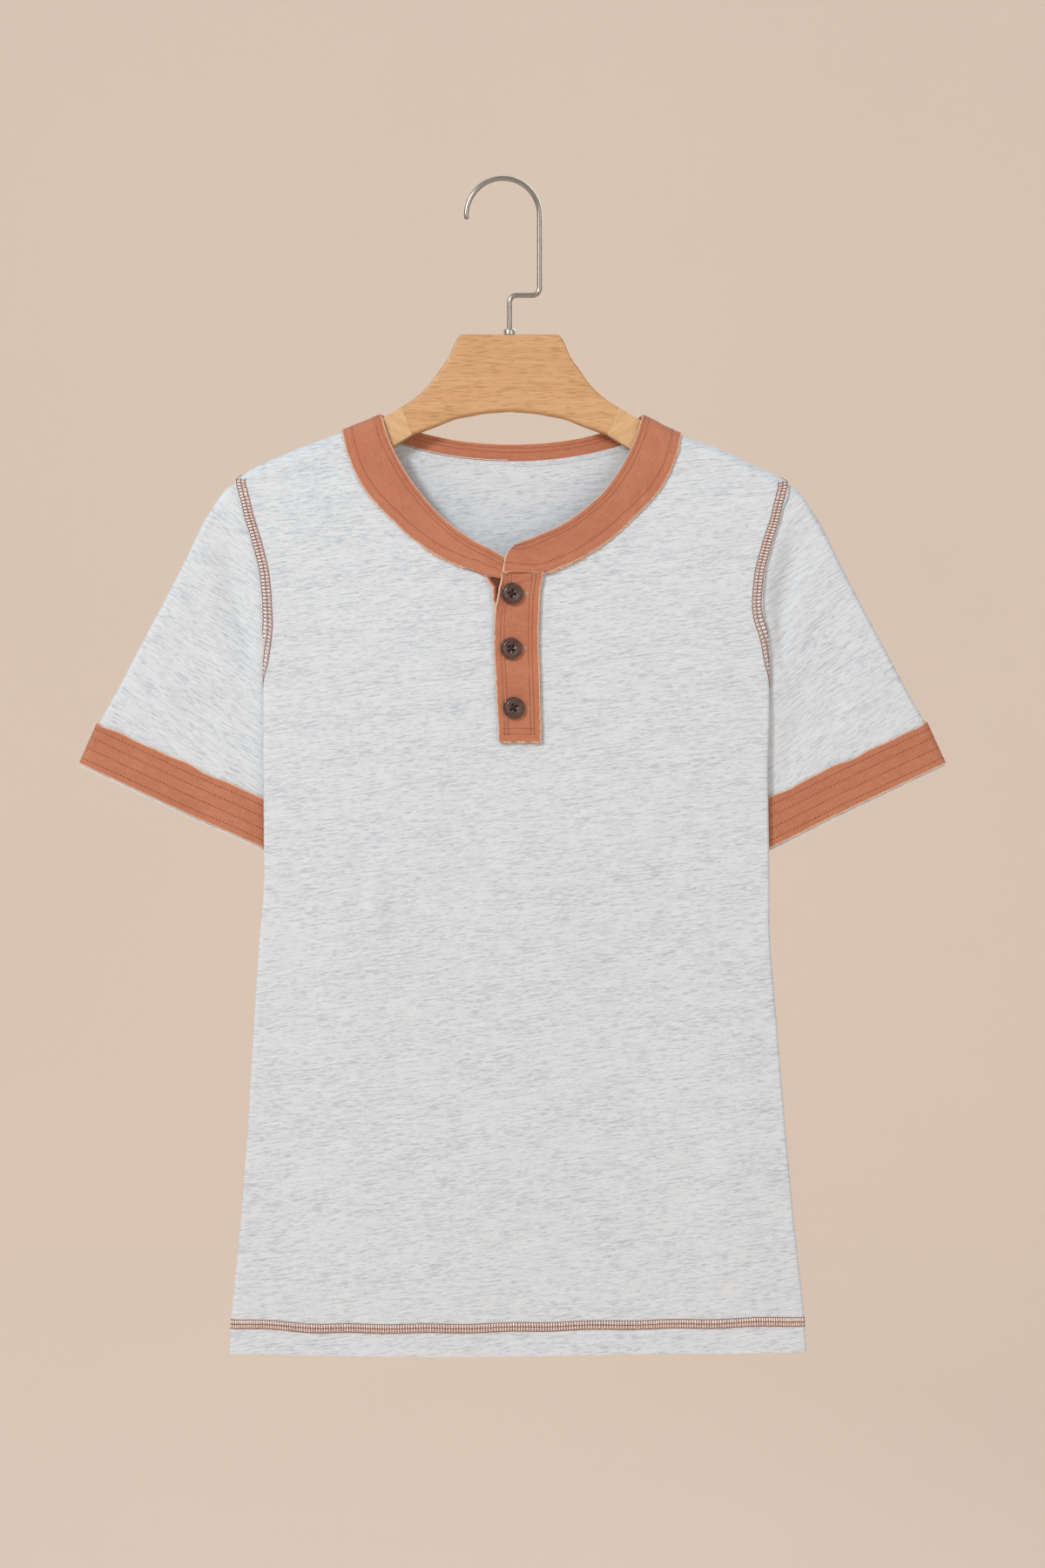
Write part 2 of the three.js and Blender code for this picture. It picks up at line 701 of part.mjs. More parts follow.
// The middle of the sleeve's cloth; `part` runs from the upper fold (0) to the underarm fold (1)
function sleeveMiddle(hand, along, part, side) {
  const { out, down } = sleevePlace(along, part);
  const upper = sleevePlace(along, 0);
  const lower = sleevePlace(along, 1);
  const length = Math.hypot(lower.out - upper.out, lower.down - upper.down);
  const bend = look(SLEEVE_DEPTH, 'along', 'bend', along);
  const room = roomUnderBody(hand, out, down, side);
  const half = look(SLEEVE_DEPTH, 'along', 'half', along) - sleeveTroughs(out, down);
  const full = Math.min(half, room, UNDERARM_BEND + UNDERARM_SPREAD * (1 - part) * length);
  const round = (distance, radius) => Math.sqrt(1 - (1 - clamp(distance / radius, 0, 1)) ** 2);
  const ends = round(part * length, bend) * round((1 - part) * length, UNDERARM_BEND);
  return place(hand * out, down, side * full * ends);
}

// Shares round the sleeve's front half, closer at its two folds
function sleeveParts(along) {
  const upper = sleevePlace(along, 0);
  const lower = sleevePlace(along, 1);
  const length = Math.hypot(lower.out - upper.out, lower.down - upper.down);
  const bend = look(SLEEVE_DEPTH, 'along', 'bend', along) / length;
  const tuck = UNDERARM_BEND / length;
  const flat = [0.1, 0.2, 0.31, 0.42, 0.52, 0.62, 0.72, 0.82, 0.91];
  const turns = [30, 60, 90].map((degrees) => 1 - Math.cos(THREE.MathUtils.degToRad(degrees)));
  return [0, ...turns.map((turn) => turn * bend), ...flat, ...turns.reverse().map((turn) => 1 - turn * tuck), 1];
}

function sleeveRings(hand, alongs) {
  return alongs.map((along) => {
    const parts = sleeveParts(along);
    const front = parts.map((part) => sleeveMiddle(hand, along, part, -1));
    const back = parts.slice(1, -1).reverse().map((part) => sleeveMiddle(hand, along, part, 1));
    return [...front, ...back];
  });
}

function ringFaces(points, rings, flip) {
  const grid = numberGrid(rings, points).map((ring) => [...ring, ring[0]]);
  return gridFaces(grid, flip);
}

function sleeve(hand) {
  const points = [];
  const rings = sleeveRings(hand, [0, 0.05, 0.12, 0.22, 0.35, 0.5, 0.66, 0.83, 1, 1.5, 2]);
  const faces = ringFaces(points, rings, hand < 0);
  return sheetSolid(points, faces);
}

function cuffBand(hand) {
  const points = [];
  const rings = sleeveRings(hand, [CUFF_BAND_FROM, 1.5, CUFF_BAND_TO]);
  const faces = ringFaces(points, rings, hand < 0);
  const normals = sheetNormals(points, faces);
  const raised = points.map((point, index) => point.clone().addScaledVector(normals[index], LAYER));
  return sheetSolid(raised, faces);
}

// Buttons, square to the cloth under them

function button() {
  const disc = new THREE.Shape().absarc(0, 0, BUTTON_RADIUS - BUTTON_EDGE, 0, 2 * Math.PI);
  for (const [x, y] of [[1, 1], [1, -1], [-1, -1], [-1, 1]]) {
    const hole = new THREE.Path();
    const radius = BUTTON_HOLE_RADIUS + BUTTON_EDGE / 2;
    hole.absarc(x * BUTTON_HOLE_SPACING, y * BUTTON_HOLE_SPACING, radius, 0, 2 * Math.PI, true);
    disc.holes.push(hole);
  }
  const geometry = new THREE.ExtrudeGeometry(disc, {
    depth: BUTTON_THICK - BUTTON_EDGE,
    bevelThickness: BUTTON_EDGE / 2,
    bevelSize: BUTTON_EDGE / 2,
    bevelSegments: 1,
    curveSegments: 5,
  });
  return geometry.translate(0, 0, -BUTTON_THICK / 2 + BUTTON_EDGE / 2);
}

// Hanger

// A rounded oblong ring of points on the line between a rib's two edges
function ribRing(hand, rib) {
  const top = new THREE.Vector3(HANGER_CENTRE + hand * rib.topOut, 0, -rib.top);
  const bottom = new THREE.Vector3(HANGER_CENTRE + hand * rib.bottomOut, 0, -rib.bottom);
  const height = top.distanceTo(bottom);
  const up = new THREE.Vector3().subVectors(top, bottom).normalize();
  const middle = new THREE.Vector3().addVectors(top, bottom).multiplyScalar(0.5);
  const edge = Math.min(HANGER_EDGE, height / 2 - 0.5);
  const ring = [];
  for (let corner = 0; corner < 4; corner += 1) {
    for (let step = 0; step < 3; step += 1) {
      const angle = (corner + step / 2) * (Math.PI / 2);
      const right = corner === 0 || corner === 3 ? 1 : -1;
      const above = corner < 2 ? 1 : -1;
      const y = right * (HANGER_THICK / 2 - edge) + edge * Math.cos(angle);
      const z = above * (height / 2 - edge) + edge * Math.sin(angle);
      ring.push(middle.clone().addScaledVector(up, z).add(new THREE.Vector3(0, y, 0)));
    }
  }
  return ring;
}

// A closed solid through rings that all run the same way round
function loft(rings, flip) {
  const points = [];
  const faces = ringFaces(points, rings, flip);
  const triangles = faces.flatMap(([a, b, c, d]) => [a, b, c, a, c, d]);
  const size = rings[0].length;
  const last = points.length - size;
  for (let k = 1; k + 1 < size; k += 1) {
    const start = flip ? [0, k, k + 1] : [0, k + 1, k];
    const end = flip ? [last, last + k + 1, last + k] : [last, last + k, last + k + 1];
    triangles.push(...start, ...end);
  }
  return solid(points, triangles);
}

function hangerMiddle() {
  const left = MIDDLE_RIBS.slice(1).reverse().map((rib) => ribRing(-1, rib));
  const right = MIDDLE_RIBS.map((rib) => ribRing(1, rib));
  return loft([...left, ...right], false);
}

function hangerArm(hand) {
  return loft(ARM_RIBS.map((rib) => ribRing(hand, rib)), hand < 0);
}

function ferrule() {
  const bore = WIRE_RADIUS + GAP;
  const profile = [
    new THREE.Vector2(bore, 0),
    new THREE.Vector2(FERRULE_RADIUS, 0),
    new THREE.Vector2(FERRULE_RADIUS, FERRULE_HEIGHT * 0.75),
    new THREE.Vector2(FERRULE_RADIUS * 0.85, FERRULE_HEIGHT),
    new THREE.Vector2(bore, FERRULE_HEIGHT),
    new THREE.Vector2(bore, 0),
  ];
  const geometry = new THREE.LatheGeometry(profile, 20);
  geometry.rotateX(Math.PI / 2);
  return geometry.translate(STEM_X, 0, -HANGER_TOP + GAP);
}

// The wire's centre line: the open bow, a straight shank, a short shelf and the stem
function hookRoute() {
  const route = [];
  const bowDown = HOOK_RADIUS - WIRE_RADIUS;
  const arc = (x, down, radius, from, to, steps) => {
    for (let step = 0; step <= steps; step += 1) {
      const angle = THREE.MathUtils.degToRad(mix(from, to, step / steps));
      route.push(new THREE.Vector3(x + radius * Math.cos(angle), 0, -down + radius * Math.sin(angle)));
    }
  };
  arc(0, bowDown, HOOK_RADIUS, HOOK_START_ANGLE, 0, 24);
  const shelf = WIRE_SHELF_DOWN - WIRE_BEND;
  for (const share of [0.25, 0.5, 0.75]) {
    route.push(new THREE.Vector3(HOOK_RADIUS, 0, -mix(bowDown, shelf, share)));
  }
  arc(HOOK_RADIUS - WIRE_BEND, shelf, WIRE_BEND, 0, -90, 5);
  arc(STEM_X + WIRE_BEND, WIRE_SHELF_DOWN + WIRE_BEND, WIRE_BEND, 90, 180, 5);
  for (const share of [0.5, 1]) {
    route.push(new THREE.Vector3(STEM_X, 0, -mix(WIRE_SHELF_DOWN + WIRE_BEND, HANGER_TOP - GAP, share)));
  }
  return route;
}

function hook() {
  const route = new THREE.CatmullRomCurve3(hookRoute(), false, 'centripetal');
  const section = new THREE.Shape().absarc(0, 0, WIRE_RADIUS, 0, 2 * Math.PI);
  return new THREE.ExtrudeGeometry(section, {
    steps: 64,
    curveSegments: 5,
    extrudePath: route,
    bevelEnabled: false,
  });
}

// The whole part

const shirt = new THREE.Group();

function add(name, geometry, material) {
  const mesh = new THREE.Mesh(geometry, material);
  mesh.name = name;
  shirt.add(mesh);
  return mesh;
}

add('front_panel', frontPanel(), MATERIALS.jersey);
add('back_panel', backPanel(), MATERIALS.jersey);
for (const [name, hand] of [['left', -1], ['right', 1]]) {
  add(`sleeve_${name}`, sleeve(hand), MATERIALS.jersey);
  add(`cuff_band_${name}`, cuffBand(hand), MATERIALS.woven);
  add(`hanger_arm_${name}`, hangerArm(hand), MATERIALS.paleWood);
}
add('neckband', neckband(), MATERIALS.woven);
const placketUnder = placketStrip(PLACKET_UNDER_EDGES, PLACKET_UNDER_START, PLACKET_UNDER_END, LAYER);
const placketTop = placketStrip(PLACKET_TOP_EDGES, PLACKET_TOP_START, PLACKET_TOP_END, 2 * LAYER);
add('placket_under', placketUnder, MATERIALS.woven);
add('placket_top', placketTop, MATERIALS.woven);
const buttonLift = 2 * LAYER + WALL / 2 + BUTTON_GAP + BUTTON_THICK / 2;
for (const { name, across, down } of BUTTONS) {
  const drop = dropAt(Math.abs(across), down);
  const mesh = add(name, button(), MATERIALS.button);
  const seat = onBody(across, drop, -1, 2 * LAYER);
  mesh.position.copy(onBody(across, drop, -1, buttonLift));
  mesh.lookAt(mesh.position.clone().multiplyScalar(2).sub(seat));
}
add('hanger_body', hangerMiddle(), MATERIALS.wood);
add('hanger_ferrule', ferrule(), MATERIALS.steel);
add('hanger_hook', hook(), MATERIALS.steel);

export default shirt;
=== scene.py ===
"""A henley shirt with short sleeves on a flat wooden hanger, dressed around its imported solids.

The cloth is laid out as it is cut, in millimetres: `across` runs from the shirt's centre line to
either side, `out` is its size, `down` runs from the crown of the hook, and `drop` runs along the
cloth from the shoulder ridge. Finished pieces are in metres, +Z up, with the shirt's front to -Y.
"""

import logging
import math
from dataclasses import dataclass, field
from enum import Enum
from functools import lru_cache
from typing import Any, Callable

import bmesh
import bpy
import numpy as np
from mathutils import Matrix, Vector


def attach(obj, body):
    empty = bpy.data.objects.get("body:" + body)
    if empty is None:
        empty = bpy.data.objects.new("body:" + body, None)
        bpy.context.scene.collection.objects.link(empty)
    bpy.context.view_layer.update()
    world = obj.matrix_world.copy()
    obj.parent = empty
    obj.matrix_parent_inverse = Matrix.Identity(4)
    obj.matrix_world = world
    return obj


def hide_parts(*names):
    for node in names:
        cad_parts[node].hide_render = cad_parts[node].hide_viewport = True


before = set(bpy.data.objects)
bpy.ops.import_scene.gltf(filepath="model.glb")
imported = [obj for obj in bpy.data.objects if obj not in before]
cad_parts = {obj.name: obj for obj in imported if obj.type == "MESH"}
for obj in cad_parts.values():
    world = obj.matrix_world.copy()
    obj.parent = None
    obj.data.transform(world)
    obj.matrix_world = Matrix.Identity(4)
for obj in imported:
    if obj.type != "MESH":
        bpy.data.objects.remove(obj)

log = logging.getLogger("henley")
Array = np.ndarray
MM = 0.001
CUT_STEP = 700.0  # between pieces that lie side by side in the flat cut


class Side(Enum):
    """The two faces of the shirt."""

    FRONT = -1
    BACK = 1


class Hand(Enum):
    """The two halves of the shirt, as seen from the front."""

    LEFT = -1
    RIGHT = 1

    @property
    def word(self) -> str:
        """The half's name in a piece's name."""
        return self.name.lower()


# Plain measures


def smooth(value: Array) -> Array:
    """A soft step from 0 to 1."""
    share = np.clip(value, 0.0, 1.0)
    return share * share * (3.0 - 2.0 * share)


def mix(start: Array, end: Array, share: Array) -> Array:
    """The value `share` of the way from start to end."""
    return start + (end - start) * share


def unit(vectors: Array) -> Array:
    """The vectors of the last axis, each made one long."""
    return vectors / np.maximum(np.linalg.norm(vectors, axis=-1, keepdims=True), 1e-12)


@dataclass(frozen=True)
class Curve:
    """A smooth line through rows of (at, value) that never overshoots them."""

    rows: tuple[tuple[float, float], ...]

    def __call__(self, at: Array) -> Array:
        """The values of the line.

        Args:
            at: where to read it; past its ends the end values hold.

        Returns:
            One value for each place.
        """
        x, y = np.array(self.rows, float).T
        slope = np.diff(y) / np.diff(x)
        tangent = np.concatenate([slope[:1], np.zeros(len(x) - 2), slope[-1:]])
        before, after = slope[:-1], slope[1:]
        agree = before * after > 0
        total = np.where(agree, before + after, 1.0)
        tangent[1:-1] = np.where(agree, 2 * before * after / total, 0.0)
        place = np.clip(at, x[0], x[-1])
        row = np.clip(np.searchsorted(x, place, side="right") - 1, 0, len(x) - 2)
        step = x[row + 1] - x[row]
        t = (place - x[row]) / step
        rise = (y[row + 1] - y[row]) * t * t * (3 - 2 * t)
        bend = tangent[row] * t * (1 - t) ** 2 - tangent[row + 1] * t * t * (1 - t)
        return y[row] + rise + bend * step


@dataclass(frozen=True)
class Crease:
    """A soft ridge (or with a negative depth, a trough) along a straight line of the cloth."""

    start: tuple[float, float]
    end: tuple[float, float]
    width: float
    depth: float
    side: Side | None = None

    def height(self, across: Array, down: Array) -> Array:
        """How far the cloth stands out.

        Args:
            across: places across the cloth.
            down: the same places' distances below the hook.

        Returns:
            The height at each place, in millimetres.
        """
        run, fall = self.end[0] - self.start[0], self.end[1] - self.start[1]
        length = math.hypot(run, fall)
        along = ((across - self.start[0]) * run + (down - self.start[1]) * fall) / length**2
        off = ((across - self.start[0]) * fall - (down - self.start[1]) * run) / length
        ends = smooth(along * 3.0) * smooth((1.0 - along) * 3.0)
        return self.depth * ends * np.exp(-((off / self.width) ** 2))


# The form of the cloth


@dataclass(frozen=True)
class BodyForm:
    """Where the cloth of the body hangs: over the shoulders, down, and in at the folded sides."""

    wall: float = 1.2
    gap: float = 0.3
    centre: float = 6.2
    lean: float = 4.2
    lean_starts: float = 300.0
    ridge_radius: float = 7.2
    free_hang: float = 50.0
    hem_down: float = 814.5
    fold_radius: float = 1.7
    underarm_down: float = 408.7
    underarm_half_gap: float = 3.2
    seam_closes: float = 40.0
    gusset_rise: float = 14.0
    side_flatter: float = 0.35
    half_width: float = 172.0
    shoulder_tip: float = 191.5
    shoulder: Curve = Curve(((0, 158), (60, 158.8), (80, 160.2), (90.5, 163.6), (103, 169.8),
        (117, 176.3), (145, 185.8), (169.6, 196), (182, 202.5), (190, 208.5), (200, 217)))
    armhole: Curve = Curve(((209.5, 191.5), (233.7, 186.3), (253, 180.3), (276.5, 174.8),
        (299.5, 173.2), (322.4, 174.1), (346, 177.2), (360, 179.5), (374, 183), (389, 191),
        (401, 206), (408.7, 228)))
    side_seam: Curve = Curve(((408.7, 228), (814.5, 240)))
    side_fold: Curve = Curve(((240, 212), (270, 186), (285, 178.2), (299.5, 174.3), (322, 173.8),
        (352.7, 174.5), (479.8, 175.1), (600.8, 182.4), (721.8, 191.8), (782.3, 198.1),
        (814.5, 200.3)))
    bulge: Curve = Curve(((160, 0), (260, 2.6), (340, 3.8), (450, 4), (600, 2.2), (700, 0.6),
        (814.5, -1.2)))
    hem_wave: Curve = Curve(((-205, -0.9), (-150, 0.3), (-60, 1.5), (10, 1.1), (70, -0.2),
        (130, -0.6), (205, -1.9)))
    armpit_push: float = 1.6
    sway: float = 2.2
    shoulder_drift: Curve = Curve(((-225, 0), (-199, -2.8), (-186, -1.9), (-150, -1.4),
        (-117, -2.1), (-95, -0.6), (-60, 0), (120, 0), (150, 1.1), (170, 2), (184, 0.7),
        (198, -2), (215, 0)))
    crease_gain: float = 1.4
    folds: tuple[tuple[Side, float, float, float, float, float, float], ...] = (
        (Side.FRONT, -118, 8, 430, 700, 30, 1.5),
        (Side.FRONT, 72, -10, 440, 730, 34, -1.4),
        (Side.FRONT, -158, -12, 520, 800, 22, -1.2),
        (Side.FRONT, 140, 16, 560, 860, 30, 1.6),
        (Side.FRONT, -30, -30, 600, 880, 36, 1.3),
        (Side.BACK, -96, -10, 420, 720, 32, 1.2),
        (Side.BACK, 20, 10, 330, 640, 36, -1.1),
        (Side.BACK, 128, 14, 460, 820, 28, 1.3),
        (Side.BACK, -20, -26, 560, 880, 34, 1),
    )
    creases: tuple[Crease, ...] = (
        Crease((-176, 214), (-120, 330), 9, -0.5, Side.FRONT),
        Crease((-168, 226), (-136, 300), 5, 0.35, Side.FRONT),
        Crease((176, 218), (128, 320), 9, -0.45, Side.FRONT),
        Crease((-106, 420), (-110, 600), 8, -0.7, Side.FRONT),
        Crease((-92, 440), (-98, 560), 7, 0.4, Side.FRONT),
        Crease((104, 410), (108, 600), 8, -0.6, Side.FRONT),
        Crease((-150, 560), (-128, 700), 7, -0.5, Side.FRONT),
        Crease((-140, 700), (-92, 800), 9, 0.5, Side.FRONT),
        Crease((-100, 735), (-60, 806), 6, -0.4, Side.FRONT),
        Crease((36, 700), (60, 812), 8, 0.4, Side.FRONT),
        Crease((150, 640), (128, 790), 9, 0.5, Side.FRONT),
        Crease((18, 392), (60, 470), 8, -0.5, Side.FRONT),
        Crease((-12, 394), (-50, 462), 8, -0.45, Side.FRONT),
        Crease((-170, 222), (-100, 360), 10, -0.6, Side.BACK),
        Crease((172, 226), (112, 350), 10, -0.6, Side.BACK),
        Crease((-70, 200), (-20, 300), 12, -0.5, Side.BACK),
        Crease((64, 204), (30, 330), 12, 0.5, Side.BACK),
        Crease((-120, 430), (-104, 620), 8, -0.6, Side.BACK),
        Crease((96, 440), (110, 640), 8, -0.5, Side.BACK),
        Crease((-60, 680), (-90, 806), 8, 0.5, Side.BACK),
        Crease((84, 690), (60, 806), 8, -0.4, Side.BACK),
    )

    @property
    def layer(self) -> float:
        """The step from one layer of cloth to the next."""
        return self.wall + self.gap

    @property
    def quarter_bend(self) -> float:
        """The cloth's length over a quarter of the shoulder ridge."""
        return self.ridge_radius * math.pi / 2

    @property
    def fold_arc(self) -> float:
        """The cloth's length round the side fold."""
        return math.pi * self.fold_radius

    def ridge_down(self, out: Array) -> Array:
        """How far down the middle of the cloth on the shoulder ridge is."""
        return self.shoulder(out) + self.wall * 0.55

    def drop_at(self, out: Array, down: Array) -> Array:
        """The distance along the cloth from the ridge to a place that is `down`."""
        return down - self.ridge_down(out) - self.ridge_radius + self.quarter_bend

    def down_at(self, out: Array, drop: Array) -> Array:
        """How far down a place is that lies `drop` along the cloth from the ridge."""
        return self.ridge_down(out) + self.ridge_radius - self.quarter_bend + drop

    def fold_edge(self, down: Array) -> Array:
        """Where the cloth begins to turn in at the side."""
        return self.side_fold(down) - self.wall / 2 - self.fold_radius

    def hem_ripple(self, across: Array, down: Array, side: Side) -> Array:
        """The small puckers that the hem's cover stitch draws up."""
        near = np.exp(-(((down - 800) / 17) ** 2))
        slant = across + 0.55 * (down - 800) + (11.0 if side is Side.BACK else 0.0)
        waves = np.sin(slant / 6.1) * np.sin(slant / 23.0 + 1.0) + 0.6 * np.sin(slant / 10.3 + 2.1)
        return 0.26 * near * waves

    def relief(self, across: Array, down: Array, side: Side) -> Array:
        """How far the folds and creases lift the cloth.

        Args:
            across: places across the cloth, negative on the left.
            down: the same places' distances below the hook.
            side: the front or the back.

        Returns:
            The height at each place.
        """
        height = self.hem_ripple(across, down, side)
        for face, at, lean, start, end, width, depth in self.folds:
            if face is side:
                part = np.clip((down - start) / (end - start), 0, 1)
                off = (across - at - lean * part) / width
                height = height + depth * np.sin(np.pi * part) ** 2 * np.exp(-off * off)
        for crease in self.creases:
            if crease.side is side:
                height = height + self.crease_gain * crease.height(across, down)
        return height

    def half_depth(self, across: Array, down: Array, side: Side) -> Array:
        """How far from the shirt's middle plane the cloth hangs."""
        out = np.abs(across)
        hang = smooth((down - self.ridge_down(out) - self.ridge_radius) / self.free_hang)
        flatter = 1 - self.side_flatter * np.minimum(1, out / self.half_width) ** 2
        lift = self.bulge(down) * flatter + self.relief(across, down, side)
        return self.ridge_radius + hang * lift

    def gusset_depth(self, hand: Array, out: Array, down: Array, side: Side) -> Array:
        """How far from the middle plane the layer that is folded in lies."""
        outer = self.half_depth(hand * self.fold_edge(down), down, side) - 2 * self.fold_radius
        closing = smooth((down - self.underarm_down) / self.seam_closes)
        seam = mix(self.underarm_half_gap, self.layer / 2, closing)
        cut = self.side_seam(down)
        seam_out = 2 * self.fold_edge(np.maximum(down, self.underarm_down)) + self.fold_arc - cut
        return mix(seam, outer, smooth((out - seam_out) / self.gusset_rise))

    def place(self, across: Array, down: Array, y: Array) -> Array:
        """Points in the row frame, in millimetres."""
        span = self.hem_down - self.lean_starts
        lean = self.lean * smooth((down - self.lean_starts) / span)
        near = smooth((down - 290) / 30) * (1 - smooth((down - 365) / 50))
        pushed = self.armpit_push * near * np.exp(-(((across - 176) / 22) ** 2))
        waist = smooth((down - 295) / 30) * (1 - smooth((down - 480) / 60))
        out = np.abs(across)
        fades = 1 - smooth((out - 186) / 40)
        pushed = pushed + self.sway * waist * smooth((out - 70) / 70) * fades
        sunk = self.shoulder_drift(across) * (1 - smooth((down - 215) / 70))
        x = self.centre + lean + across + pushed
        return np.stack(np.broadcast_arrays(x, y, -down - sunk), axis=-1)

    def middle(self, across: Array, drop: Array, side: Side) -> Array:
        """The middle of the body's cloth.

        Args:
            across: places across the cut panel, negative on the left.
            drop: their distances along the cloth from the shoulder ridge.
            side: the front or the back.

        Returns:
            A point for each place.
        """
        across, drop = np.broadcast_arrays(np.asarray(across, float), np.asarray(drop, float))
        out, hand, face = np.abs(across), np.where(across < 0, -1.0, 1.0), side.value
        radius, turn = self.ridge_radius, drop / self.ridge_radius
        over_down = self.ridge_down(out) + radius * (1 - np.cos(turn))
        over = self.place(across, over_down, face * radius * np.sin(turn))
        down = self.down_at(out, drop)
        flat = self.place(across, down, face * self.half_depth(across, down, side))
        edge = self.fold_edge(down)
        past = out - edge
        curl = np.clip(past / self.fold_radius, 0, math.pi)
        depth = self.half_depth(hand * edge, down, side) - self.fold_radius * (1 - np.cos(curl))
        turned = self.place(hand * (edge + self.fold_radius * np.sin(curl)), down, face * depth)
        folded = edge - (past - self.fold_arc)
        inside = self.place(hand * folded, down, face * self.gusset_depth(hand, folded, down, side))
        tests = [turn < math.pi / 2, past <= 0, past < self.fold_arc]
        return np.select([test[..., None] for test in tests], [over, flat, turned], inside)

    def on(self, across: Array, drop: Array, side: Side, lift: Array) -> tuple[Array, Array]:
        """Points that stand off the body's cloth.

        Args:
            across: places across the cut panel.
            drop: their distances along the cloth from the ridge.
            side: the front or the back.
            lift: how far outside the middle of the cloth they stand.

        Returns:
            The points and the cloth's outward normals there.
        """
        step = 0.4
        sideways = self.middle(across + step, drop, side) - self.middle(across - step, drop, side)
        downward = self.middle(across, drop + step, side) - self.middle(across, drop - step, side)
        normals = unit(np.cross(sideways, downward) * side.value)
        return self.middle(across, drop, side) + normals * np.asarray(lift)[..., None], normals


@dataclass(frozen=True)
class NeckEdge:
    """The inner edge of the neckband on one face: an oval from the ridge down to the centre."""

    side: Side
    depth: float
    power: float
    half_width: float = 90.0

    def rim(self, angle: Array) -> tuple[Array, Array]:
        """The oval itself, from the ridge (0) to the centre (a quarter turn)."""
        turn = np.clip(angle, 0, math.pi / 2)
        bend = 2 / self.power
        return self.half_width * np.cos(turn) ** bend, self.depth * np.sin(turn) ** bend

    def point(self, angle: Array, offset: Array) -> tuple[Array, Array]:
        """A point outside the oval.

        Args:
            angle: where along it, 0 on the ridge and a quarter turn at the centre.
            offset: how far outside.

        Returns:
            Its `out` and its `drop`.
        """
        step = 0.02
        angle = np.asarray(angle, float)
        (out_a, drop_a), (out_b, drop_b) = self.rim(angle - step), self.rim(angle + step)
        out, drop = self.rim(angle)
        length = np.hypot(out_b - out_a, drop_b - drop_a)
        centre = math.pi / 2 - angle < step
        outward = np.where(centre, 0.0, (drop_b - drop_a) / length)
        downward = np.where(centre, 1.0, (out_a - out_b) / length)
        return out + offset * outward, drop + offset * downward

    def at_drop(self, drop: Array, offset: float) -> Array:
        """How far out the edge, `offset` outside the oval, is at a given drop."""
        out, fall = self.point(np.linspace(0, math.pi / 2 - 0.03, 1500), offset)
        return np.interp(drop, fall, out)


